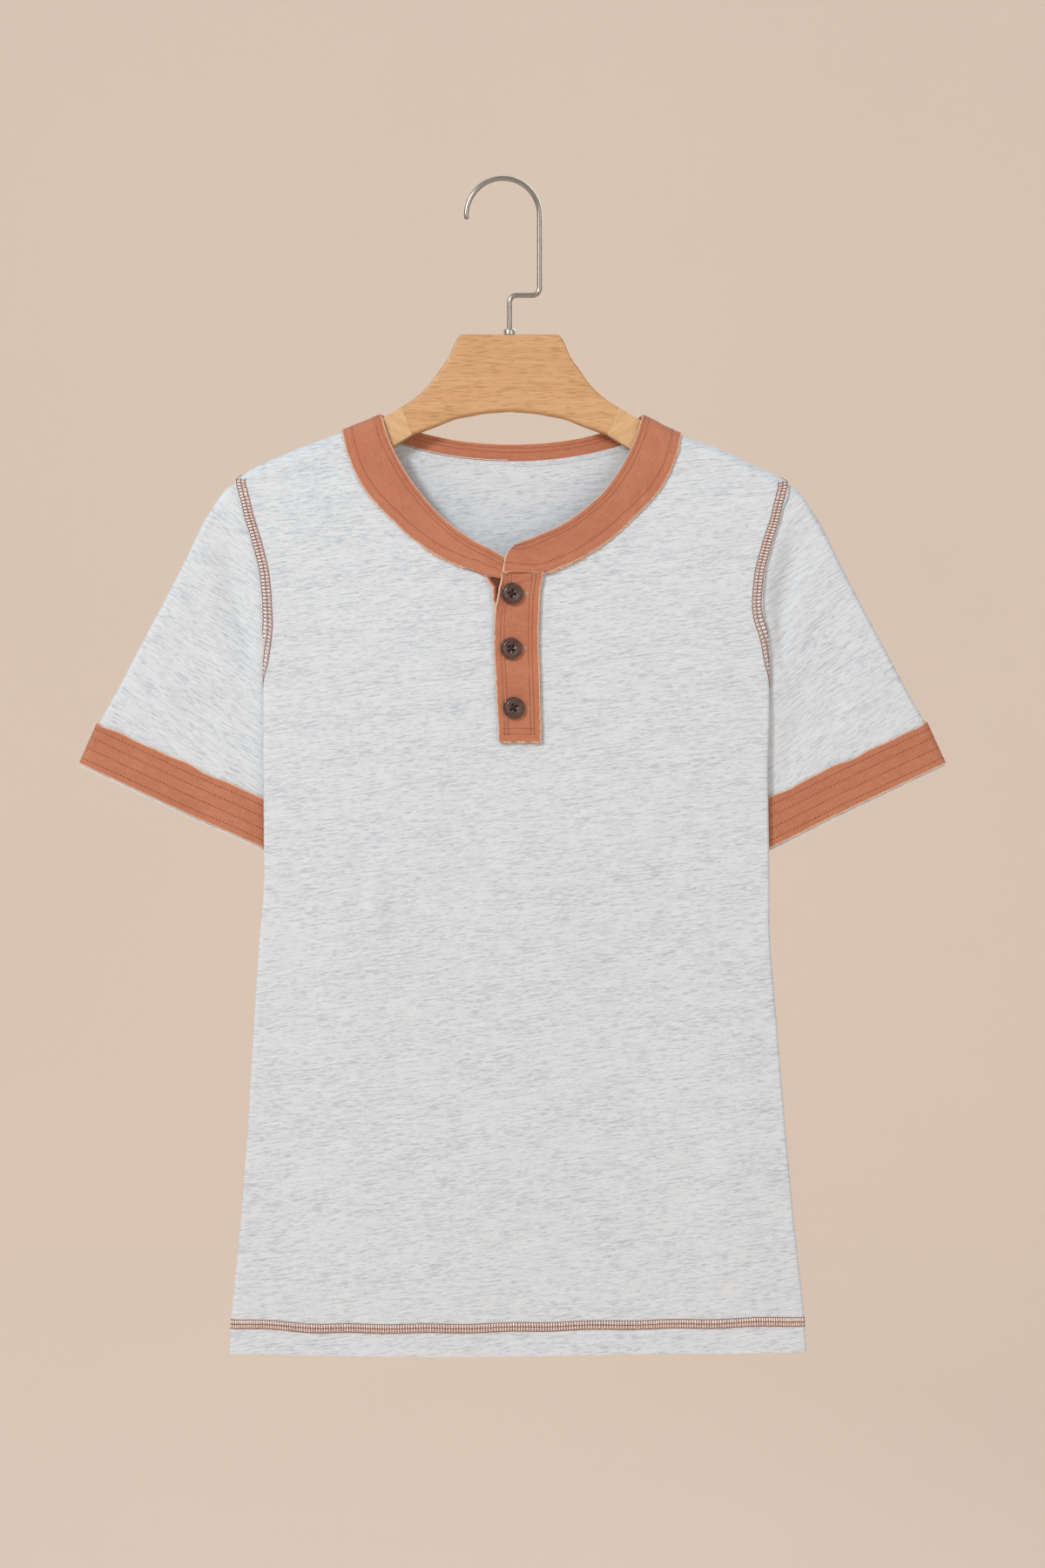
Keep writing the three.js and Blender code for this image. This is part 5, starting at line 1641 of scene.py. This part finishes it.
@dataclass(frozen=True)
class CoverStitch:
    """The three-rail cover stitch round the armholes and along the hem."""

    form: BodyForm
    width: float = 6.0
    wide_share: float = 0.51
    armhole_pitch: float = 2.5
    hem_pitch: float = 1.86
    curl_seen: float = 2.6
    armhole_tuck: Curve = Curve(((200, 0), (303, 0), (322, 2.1), (335, 2.8), (347, 3.8), (356, 6),
        (380, 9)))
    thread: float = 0.25
    slant: float = 0.5
    seam_forward: float = 3.6
    chain_from_neck: float = 13.3
    hem_line: Curve = Curve(((-205, 792.6), (-170, 794.0), (-130, 796.2), (-60, 796.2),
        (-10, 795.5), (60, 793.9), (120, 793.0), (185, 791.4), (205, 791.2)))

    def lay(self, name: str, pitch: float,
            runs: list[tuple[Array, Array, Array, Array, Array, Side]]) -> None:
        """Sews runs of cover stitch.

        Args:
            name: the start of the pieces' names.
            pitch: the length of a stitch.
            runs: for each run the places across and drops of its first rail, the direction to its
                last rail in the same two measures, how much of its width is tucked away, and the
                face of the shirt.
        """
        rails = Threads(f"{name}_rails")
        light, pink = Threads(f"{name}_cream"), Threads(f"{name}_pink")
        for across, drop, turn_across, turn_drop, tucked, side in runs:
            length = np.concatenate([[0], np.cumsum(np.hypot(np.diff(across), np.diff(drop)))])

            def read(values: Array, at: Array) -> Array:
                """The values at the given lengths along the run."""
                return np.interp(at, length, values)

            def at(s: Array, w: Array, lift: float) -> tuple[Array, Array]:
                """Points on the run, `s` along it and `w` across it."""
                return self.form.on(read(across, s) + read(turn_across, s) * w,
                    read(drop, s) + read(turn_drop, s) * w, side, np.full(np.broadcast(s, w).shape,
                    self.form.wall / 2 + lift))

            cells = np.arange(pitch / 2, length[-1], pitch)
            fine = np.arange(0, length[-1], pitch / 4)
            for w in (0.0, self.width * self.wide_share, self.width):
                seen = fine[read(tucked, fine) <= w + 0.01]
                phase = 2 * math.pi * seen / pitch
                points, normals = at(seen, w + 0.2 * np.sin(phase), self.thread)
                swell = self.thread * (1.1 + 0.25 * np.cos(phase))
                rails.add(points[None], normals[None], swell[None], 5)
            cells = cells[read(tucked, cells) < self.width - 0.5]
            w = mix(read(tucked, cells)[:, None], self.width, np.linspace(0, 1, 5))
            s = cells[:, None] + self.slant * (w / self.width - 0.5)
            points, normals = at(s, w, self.thread)
            rails.add(points, normals, np.full(s.shape, self.thread * 0.9), 5)
            for threads, low, high, radius in ((light, 0.0, self.wide_share, 0.66),
                                               (pink, self.wide_share, 1.0, 0.6)):
                middle = self.width * (low + high) / 2
                between = cells[read(tucked, cells) < middle - 0.5][:-1] + pitch / 2
                places, normals = at(between, np.full_like(between, middle), 0.22)
                ahead, _ = at(between + 0.08 * self.slant, np.full_like(between, middle + 0.4),
                    0.22)
                size = self.width * (high - low) - 0.35
                threads.beads(places, ahead - places, normals, size, radius, 0.7)
        dress(rails.build(), RUST_THREAD, "woven_band")
        dress(light.build(), CREAM_THREAD, "jersey")
        dress(pink.build(), PINK_THREAD, "woven_band")

    def armhole(self, hand: Hand) -> None:
        """Sews one armhole, from the shoulder seam down into the side fold on both faces."""
        form, runs = self.form, []
        for side in Side:
            seam = self.seam_forward * (1 if side is Side.FRONT else -1)
            bend = np.arange(seam, 14, 0.6)
            down = np.arange(float(form.down_at(form.shoulder_tip, 14.6)), 376.0, 0.6)
            tip = np.concatenate([form.down_at(form.shoulder_tip, bend), down])
            out = mix(form.shoulder_tip, form.armhole(tip),
                      smooth((form.drop_at(191, tip) - 6) / 14)) - 0.9
            drop = np.concatenate([bend, form.drop_at(out[len(bend):], down)])
            fall = form.down_at(out, drop)
            out = out + self.armhole_tuck(fall)
            drop = np.concatenate([bend, form.drop_at(out[len(bend):], down)])
            run, down_run = np.gradient(out), np.gradient(fall)
            size = np.hypot(run, down_run)
            inward_out, inward_down = -down_run / size, run / size
            slope = form.ridge_down(out) - form.ridge_down(out - 1)
            inward_drop = inward_down - slope * inward_out
            tucked = np.maximum(0.0, out - form.fold_edge(fall) - self.curl_seen * form.fold_radius)
            tucked[: len(bend)] = 0.0
            runs.append((hand.value * out, drop, hand.value * inward_out, inward_drop, tucked,
                side))
        self.lay(f"armhole_{hand.word}_stitch", self.armhole_pitch, runs)

    def hem(self) -> None:
        """Sews the hem on both faces, up to the side folds."""
        form, runs = self.form, []
        for side in Side:
            across = np.arange(-201.5, 201.6, 1.0)
            down = self.hem_line(across) + 0.35 * np.sin(across / 9.0 + side.value) - 3.0
            drop = form.drop_at(np.abs(across), down)
            runs.append((across, drop, across * 0, across * 0 + 1, across * 0, side))
        self.lay("hem_stitch", self.hem_pitch, runs)

    def neck_seam(self, necks: tuple[NeckEdge, NeckEdge]) -> None:
        """Sews the white chain on the inside of the neck, just below the jersey's edge."""
        chain = Threads("neck_chain")
        for neck in necks:
            for hand in Hand:
                end = 88.5 if neck.side is Side.BACK else 74
                turn = np.radians(np.linspace(12, end, 240))
                out, drop = neck.point(turn, self.chain_from_neck)
                points, normals = self.form.on(hand.value * out, drop, neck.side,
                    np.full_like(out, -self.form.wall / 2 - 0.2))
                places, along, up = walk(points, -normals, 1.1)
                cross = np.cross(up, along)
                swing = np.where(np.arange(len(places)) % 2, 1.0, -1.0)[:, None]
                chain.beads(places + cross * swing * 0.8, unit(along + cross * swing * 0.6), up,
                    1.7, 0.36)
                chain.add((places + cross * 2.1)[None], up[None], np.full((1, len(places)), 0.26),
                          5)
        dress(chain.build(), WHITE_THREAD, "jersey")

    def build(self, necks: tuple[NeckEdge, NeckEdge]) -> None:
        """Sews everything."""
        for hand in Hand:
            self.armhole(hand)
        self.hem()
        self.neck_seam(necks)


# Hard pieces


class Bench:
    """A piece on the bench: a primitive, shaped in edit mode with its parts picked by place."""

    def __init__(self, name: str, add: Callable[..., Any], **settings: Any) -> None:
        """Adds a primitive at the origin and opens it for shaping.

        Args:
            name: the piece's name.
            add: the operator that adds the primitive.
            settings: the primitive's sizes.
        """
        deselect()
        add(enter_editmode=True, location=(0, 0, 0), **settings)
        self.piece = bpy.context.object
        self.piece.name = self.piece.data.name = name
        bpy.context.scene.tool_settings.use_mesh_automerge = False

    def pick(self, kind: str, test: Callable[[Any], bool]) -> int:
        """Selects the parts that pass a test and nothing else.

        Args:
            kind: "VERT", "EDGE" or "FACE".
            test: takes a part of the mesh and says whether it is picked.

        Returns:
            How many were picked.
        """
        bpy.ops.mesh.select_mode(type=kind)
        bpy.ops.mesh.select_all(action="DESELECT")
        mesh = bmesh.from_edit_mesh(self.piece.data)
        mesh.normal_update()
        parts = {"VERT": mesh.verts, "EDGE": mesh.edges, "FACE": mesh.faces}[kind]
        picked = [part for part in parts if test(part)]
        for part in picked:
            part.select_set(True)
        mesh.select_flush_mode()
        bmesh.update_edit_mesh(self.piece.data)
        return len(picked)

    def centre(self) -> Vector:
        """The middle of what is selected."""
        picked = [v.co for v in bmesh.from_edit_mesh(self.piece.data).verts if v.select]
        return sum(picked, Vector()) / len(picked)

    def move(self, by: Vector) -> None:
        """Moves what is selected."""
        bpy.ops.transform.translate(value=tuple(by))

    def scale(self, by: float) -> None:
        """Scales what is selected about its own middle."""
        bpy.ops.transform.resize(value=(by, by, by), center_override=tuple(self.centre()))

    def extrude(self, by: Vector) -> None:
        """Draws the selected face out."""
        bpy.ops.mesh.extrude_region_move(TRANSFORM_OT_translate={"value": tuple(by)})

    def close(self, smooth_angle: float = 40.0) -> bpy.types.Object:
        """Merges doubles, turns the faces outwards, leaves edit mode and shades the piece."""
        bpy.ops.mesh.select_mode(type="VERT")
        bpy.ops.mesh.select_all(action="SELECT")
        bpy.ops.mesh.remove_doubles(threshold=1e-6)
        bpy.ops.mesh.normals_make_consistent(inside=False)
        bpy.ops.object.mode_set(mode="OBJECT")
        activate(self.piece)
        bpy.ops.object.shade_smooth_by_angle(angle=math.radians(smooth_angle))
        return self.piece


@dataclass(frozen=True)
class Rib:
    """A line across the hanger, from its upper to its lower edge."""

    top_out: float
    top: float
    bottom_out: float
    bottom: float


@dataclass(frozen=True)
class Hanger:
    """The flat wooden hanger: a middle piece and two arms of paler wood, with rounded edges."""

    centre: float = 4.8
    thick: float = 12.0
    edge: float = 2.4
    middle: tuple[Rib, ...] = (
        Rib(0, 107.1, 0, 160.3), Rib(20, 107.1, 18, 161.7), Rib(33, 107.1, 27, 163.4),
        Rib(36.4, 109.8, 31, 164.1), Rib(42.4, 122.8, 37, 165.3), Rib(48.9, 131.9, 43, 167.4),
        Rib(55.5, 141.2, 50, 170.3), Rib(64.7, 150.3, 58.5, 173.4), Rib(75.2, 157.5, 67.5, 176.7))
    arm: tuple[Rib, ...] = (
        Rib(75.25, 157.55, 67.55, 176.75), Rib(86, 163.9, 78, 183.2), Rib(100, 171.7, 91.5, 191.6),
        Rib(118, 180.7, 110, 200.6), Rib(145, 190.2, 137.5, 210.3), Rib(168, 199.7, 160, 219.2),
        Rib(174, 203.7, 167, 220.5), Rib(176.5, 208.4, 172.5, 218))

    @staticmethod
    def finer(ribs: tuple[Rib, ...]) -> list[Rib]:
        """The ribs with three more between each two of them."""
        lines = [Curve(tuple((k, value) for k, value in enumerate(row)))
                 for row in zip(*((r.top_out, r.top, r.bottom_out, r.bottom) for r in ribs))]
        at = np.linspace(0, len(ribs) - 1, 4 * (len(ribs) - 1) + 1)
        return [Rib(*(float(line(k)) for line in lines)) for k in at]

    def corner(self, rib: Rib, upper: bool, hand: float) -> Vector:
        """The middle of a rib's upper or lower edge, in metres."""
        out, down = (rib.top_out, rib.top) if upper else (rib.bottom_out, rib.bottom)
        return Vector((self.centre + hand * out, 0, -down)) * MM

    def plank(self, name: str, ribs: list[tuple[Rib, float]],
              ends: tuple[bool, bool]) -> bpy.types.Object:
        """Draws a plank out from rib to rib and rounds its long edges.

        Args:
            name: the piece's name, which is the solid's.
            ribs: each rib with the half that it lies in, 1 or -1.
            ends: whether the first and the last end stay square, as at a joint.

        Returns:
            The plank.
        """
        bench = Bench(f"{name}_wood", bpy.ops.mesh.primitive_cube_add, size=1.0)
        half = self.thick / 2 * MM
        (first, hand_a), (second, hand_b) = ribs[:2]
        for x, (rib, hand) in ((-1, (first, hand_a)), (1, (second, hand_b))):
            for z, upper in ((-1, False), (1, True)):
                for y in (-1, 1):
                    bench.pick("VERT", lambda v: (v.co - Vector((x, y, z)) / 2).length < 1e-4)
                    target = self.corner(rib, upper, hand)
                    bench.move(Vector((target.x, y * half, target.z)) - Vector((x, y, z)) / 2)
        at = (second, hand_b)
        for rib, hand in ribs[2:]:
            spots = [self.corner(at[0], upper, at[1]) for upper in (True, False)]
            ends_now = [spot + Vector((0, y * half, 0)) for spot in spots for y in (-1, 1)]
            bench.pick("FACE", lambda f: all(min((v.co - e).length for e in ends_now) < 1e-5
                for v in f.verts))
            step = self.corner(rib, True, hand) - self.corner(at[0], True, at[1])
            bench.extrude(step)
            low = self.corner(at[0], False, at[1]) + step
            bench.pick("VERT", lambda v: (Vector((v.co.x, 0, v.co.z)) - low).length < 1e-5)
            bench.move(self.corner(rib, False, hand) - low)
            at = (rib, hand)
        joints = [self.corner(*spot) for (rib, hand), square in zip((ribs[0], ribs[-1]), ends)
            if square for spot in ((rib, True, hand), (rib, False, hand))]

        def long_edge(edge: Any) -> bool:
            """Whether an edge of the plank is to be rounded."""
            flat = [Vector((v.co.x, 0, v.co.z)) for v in edge.verts]
            at_joint = all(min(((p - j).length for j in joints), default=1.0) < 1e-5 for p in flat)
            return not at_joint and edge.is_manifold and edge.calc_face_angle(0) > 0.9

        bpy.ops.mesh.select_all(action="SELECT")
        bpy.ops.mesh.normals_make_consistent(inside=False)
        bench.pick("EDGE", long_edge)
        bpy.ops.mesh.bevel(offset=self.edge * MM, offset_type="OFFSET", segments=6, affect="EDGES",
            clamp_overlap=True)
        return bench.close(30)

    def build(self) -> None:
        """Builds the three planks."""
        middle, arm = self.finer(self.middle), self.finer(self.arm)
        whole = [(rib, -1.0) for rib in middle[:0:-1]] + [(rib, 1.0) for rib in middle]
        wood = Beech("beech_middle", (0.585, 0.34, 0.16), (0.47, 0.24, 0.10), (0.29, 0.125, 0.045))
        dress(self.plank("hanger_body", whole, (True, True)), wood, "wood_middle", "hanger_body")
        for hand in Hand:
            ribs = [(rib, float(hand.value)) for rib in arm]
            pale = Beech(f"beech_arm_{hand.word}", (0.62, 0.395, 0.205), (0.53, 0.31, 0.14),
                (0.38, 0.17, 0.07), 0.53 * hand.value, 0.8)
            name = f"hanger_arm_{hand.word}"
            dress(self.plank(name, ribs, (True, False)), pale, "wood_arm", name)


@dataclass(frozen=True)
class Hook:
    """The wire hook and the ferrule at its foot."""

    wire: float = 1.75
    bow: float = 25.4
    bow_turn: float = 184.0
    bend: float = 5.0
    shelf_down: float = 79.5
    stem_x: float = 4.6
    foot_down: float = 106.8
    ferrule_radius: float = 4.0
    ferrule_height: float = 3.6
    play: float = 0.3

    def spin(self, steps: int, degrees: float, x: float, down: float) -> None:
        """Spins the selected end face round a centre in the hook's plane."""
        bpy.ops.mesh.spin(steps=steps, angle=math.radians(degrees), center=(x * MM, 0, -down * MM),
            axis=(0, 1, 0))

    def build(self) -> None:
        """Builds the hook from a circle on its shank, then the ferrule."""
        bow_down = self.bow - self.wire
        shank_end = self.shelf_down - self.bend
        bench = Bench("hook_wire", bpy.ops.mesh.primitive_circle_add, vertices=16,
            radius=self.wire * MM, fill_type="NGON")
        bench.move(Vector((self.bow, 0, -shank_end)) * MM)
        bench.extrude(Vector((0, 0, shank_end - bow_down)) * MM)
        self.spin(46, self.bow_turn, 0, bow_down)
        tip = math.radians(self.bow_turn)
        ahead = Vector((-math.sin(tip), 0, math.cos(tip)))
        for reach, size in ((0.7, 0.86), (0.5, 0.66), (0.25, 0.4)):
            bench.extrude(ahead * reach * MM)
            bench.scale(size)
        bench.pick("FACE", lambda f: len(f.verts) > 4 and abs(f.calc_center_median().z + shank_end
            * MM) < 1e-5)
        self.spin(10, -90, self.bow - self.bend, shank_end)
        bench.extrude(Vector((self.stem_x + 2 * self.bend - self.bow, 0, 0)) * MM)
        self.spin(10, 90, self.stem_x + self.bend, self.shelf_down + self.bend)
        bench.extrude(Vector((0, 0, self.shelf_down + self.bend - self.foot_down)) * MM)
        dress(bench.close(50), Steel(), "steel", "hanger_hook")
        self.ferrule()

    def ferrule(self) -> None:
        """Builds the ferrule as a short tube with a rounded shoulder."""
        bench = Bench("ferrule_tube", bpy.ops.mesh.primitive_cylinder_add, vertices=40,
            radius=self.ferrule_radius * MM, depth=self.ferrule_height * MM)
        bench.pick("EDGE", lambda e: all(v.co.z > 0 for v in e.verts))
        bpy.ops.mesh.bevel(offset=0.9 * MM, segments=4, affect="EDGES")
        bench.pick("FACE", lambda f: abs(f.normal.z) > 0.99 and len(f.verts) > 4)
        bpy.ops.mesh.inset(thickness=0.4 * MM, use_individual=True)
        bore = self.wire + self.play
        for level in (-1, 1):
            bench.pick("FACE", lambda f: f.normal.z * level > 0.99 and len(f.verts) > 4)
            rim = [v for v in bmesh.from_edit_mesh(bench.piece.data).verts if v.select]
            size = max(v.co.xy.length for v in rim)
            bench.scale(bore * MM / size)
        bench.pick("FACE", lambda f: abs(f.normal.z) > 0.99 and len(f.verts) > 4)
        bpy.ops.mesh.bridge_edge_loops()
        bpy.ops.mesh.select_all(action="SELECT")
        bench.move(Vector((self.stem_x, 0, -self.foot_down + self.ferrule_height / 2)) * MM)
        dress(bench.close(40), Steel("ferrule_steel", (0.5, 0.48, 0.46)), "steel", "hanger_ferrule")


@dataclass(frozen=True)
class Buttons:
    """The three four-hole buttons with their thread."""

    placket: Placket
    radius: float = 7.5
    thick: float = 2.4
    gap: float = 0.4
    hole_radius: float = 0.85
    hole_spacing: float = 1.5
    turns: tuple[float, ...] = (0.55, 0.1, -0.25)

    def blank(self) -> bpy.types.Object:
        """Makes one button that faces +Z: a rim, a groove, a dished middle and four holes."""
        bench = Bench("button_blank", bpy.ops.mesh.primitive_cylinder_add, vertices=48,
            radius=self.radius * MM, depth=self.thick * MM)
        bench.pick("EDGE", lambda e: abs(e.verts[0].co.z - e.verts[1].co.z) < 1e-6)
        bpy.ops.mesh.bevel(offset=0.55 * MM, segments=4, affect="EDGES")
        bench.pick("FACE", lambda f: f.normal.z > 0.99 and len(f.verts) > 4)
        for inset, sink in ((0.7, 0.0), (0.35, 0.28), (0.35, 0.0), (0.35, -0.2), (0.9, 0.18),
                            (0.5, 0.12)):
            bpy.ops.mesh.inset(thickness=inset * MM)
            bench.move(Vector((0, 0, -sink)) * MM)
        piece = bench.close(35)
        for x, y in ((1, 1), (1, -1), (-1, -1), (-1, 1)):
            drill = Bench("drill", bpy.ops.mesh.primitive_cylinder_add, vertices=16,
                radius=self.hole_radius * MM, depth=self.thick * 2 * MM)
            drill.move(Vector((x, y, 0)) * self.hole_spacing * MM)
            tool = drill.close()
            apply_modifier(piece, "BOOLEAN", operation="DIFFERENCE", solver="EXACT", object=tool)
            bpy.data.objects.remove(tool)
        return piece

    def sewing(self, name: str, place: Matrix) -> None:
        """Sews a button on with two crossed threads and a shank behind it."""
        threads = Threads(name)
        spacing, top = self.hole_spacing, self.thick / 2 - 0.15
        for x, y, lift in ((1, 1, 0.0), (1, -1, 0.25)):
            for side in (-0.28, 0.28):
                share = np.array([-1, -1, -0.72, 0, 0.72, 1, 1])
                high = np.array([-self.thick, 0.2, top, top + 0.18 + lift, top, 0.2, -self.thick])
                line = np.stack([share * spacing * x - side * y, share * spacing * y + side * x,
                    high], -1)
                threads.add(line[None], np.array([[x * 0.1, -y * 0.1, 1.0]]) + line[None] * 0, 0.24,
                    6)
        piece = threads.build()
        piece.data.transform(place)
        dress(piece, DARK_THREAD, "button")

    def build(self) -> None:
        """Sews three copies of the button on the placket."""
        blank = self.blank()
        lift = 2 * self.placket.form.layer
        for number, ((across, down), turn) in enumerate(zip(self.placket.buttons, self.turns), 1):
            seat, normal = self.placket.surface(np.array([across]), np.array([down]), lift)
            stand = self.placket.form.wall / 2 + self.gap + self.thick / 2
            middle = Vector((seat + normal * stand)[0]) * MM
            face = Vector(normal[0]).to_track_quat("Z", "Y").to_matrix().to_4x4()
            place = Matrix.Translation(middle) @ face @ Matrix.Rotation(turn, 4, "Z")
            name = f"button_{number}"
            piece = bpy.data.objects.new(f"{name}_disc", blank.data.copy())
            bpy.context.scene.collection.objects.link(piece)
            piece.matrix_world = place
            activate(piece)
            bpy.ops.object.transform_apply(location=True, rotation=True, scale=True)
            dress(piece, Horn(), "button", name)
            self.sewing(f"{name}_thread", place)
        bpy.data.objects.remove(blank)


# Studio


@dataclass(frozen=True)
class Studio:
    """A plain pale room with soft light, and the camera."""

    aim: Vector = Vector((0.0136, 0.0, -0.419)).freeze()
    distance: float = 2.4
    lens: float = 79.3
    floor_down: float = 2.05
    half_size: float = 4.7
    wall_height: float = 3.8
    paint: Plain = Plain("studio_paint", (0.92, 0.80, 0.70))

    def room(self) -> None:
        """Builds the floor and the far walls in one piece with round corners, open above."""
        bench = Bench("studio_room", bpy.ops.mesh.primitive_cube_add, size=2.0)
        bpy.ops.transform.resize(value=(self.half_size, self.half_size, self.wall_height / 2),
            center_override=(0, 0, 0))
        bench.move(Vector((0, 0, self.wall_height / 2 - self.floor_down)))
        bench.pick("FACE", lambda f: f.normal.z > 0.9)
        bpy.ops.mesh.delete(type="FACE")
        bench.pick("EDGE", lambda e: len(e.link_faces) == 2)
        bpy.ops.mesh.bevel(offset=0.9, segments=8, affect="EDGES")
        room = bench.close(60)
        room.data.flip_normals()
        room.data.materials.append(self.paint.material())

    def light(self, name: str, place: tuple[float, float, float], size: float, watts: float,
              colour: Colour) -> None:
        """Adds a soft square light that looks at the shirt."""
        data = bpy.data.lights.new(name, "AREA")
        data.size, data.energy, data.color = size, watts, colour
        lamp = bpy.data.objects.new(name, data)
        lamp.location = place
        lamp.rotation_euler = (self.aim - Vector(place)).to_track_quat("-Z", "Y").to_euler()
        bpy.context.scene.collection.objects.link(lamp)

    def camera(self) -> None:
        """Places the camera square to the front of the shirt."""
        data = bpy.data.cameras.new("camera")
        data.lens, data.sensor_width, data.sensor_fit = self.lens, 36.0, "AUTO"
        data.dof.use_dof = False
        eye = bpy.data.objects.new("camera", data)
        eye.location = self.aim + Vector((0, -self.distance, 0))
        eye.rotation_euler = (math.pi / 2, 0, 0)
        bpy.context.scene.collection.objects.link(eye)
        bpy.context.scene.camera = eye

    def build(self) -> None:
        """Builds the room, the lights and the camera."""
        bpy.context.scene.view_settings.view_transform = "Standard"
        self.room()
        world = bpy.data.worlds.new("studio_sky")
        world.use_nodes = True
        sky = world.node_tree.nodes["Background"]
        sky.inputs["Color"].default_value = (0.93, 0.975, 1.0, 1.0)
        sky.inputs["Strength"].default_value = 0.56
        bpy.context.scene.world = world
        self.light("key", (-2.05, -2.6, 1.3), 0.7, 84.0, (0.95, 0.98, 1.0))
        self.light("fill", (1.9, -2.8, 0.1), 1.8, 20.0, (0.96, 0.98, 1.0))
        self.light("back_key", (0.9, 3.0, 1.2), 1.5, 55.0, (0.96, 0.985, 1.0))
        self.camera()


def main() -> None:
    """Builds the studio, then the shirt and the hanger piece by piece."""
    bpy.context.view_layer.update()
    form = BodyForm()
    necks = NeckEdge(Side.FRONT, 105.5, 1.6), NeckEdge(Side.BACK, 27.5, 1.87)
    placket = Placket(form)
    Studio().build()
    BodyPanels(form, *necks).build()
    Sleeves(SleeveForm(form)).build()
    NeckBand(form, *necks).build()
    placket.build()
    CoverStitch(form).build(necks)
    Buttons(placket).build()
    Hanger().build()
    Hook().build()


if __name__ == "__main__":
    logging.basicConfig(level=logging.INFO, format="%(name)s: %(message)s")
    main()
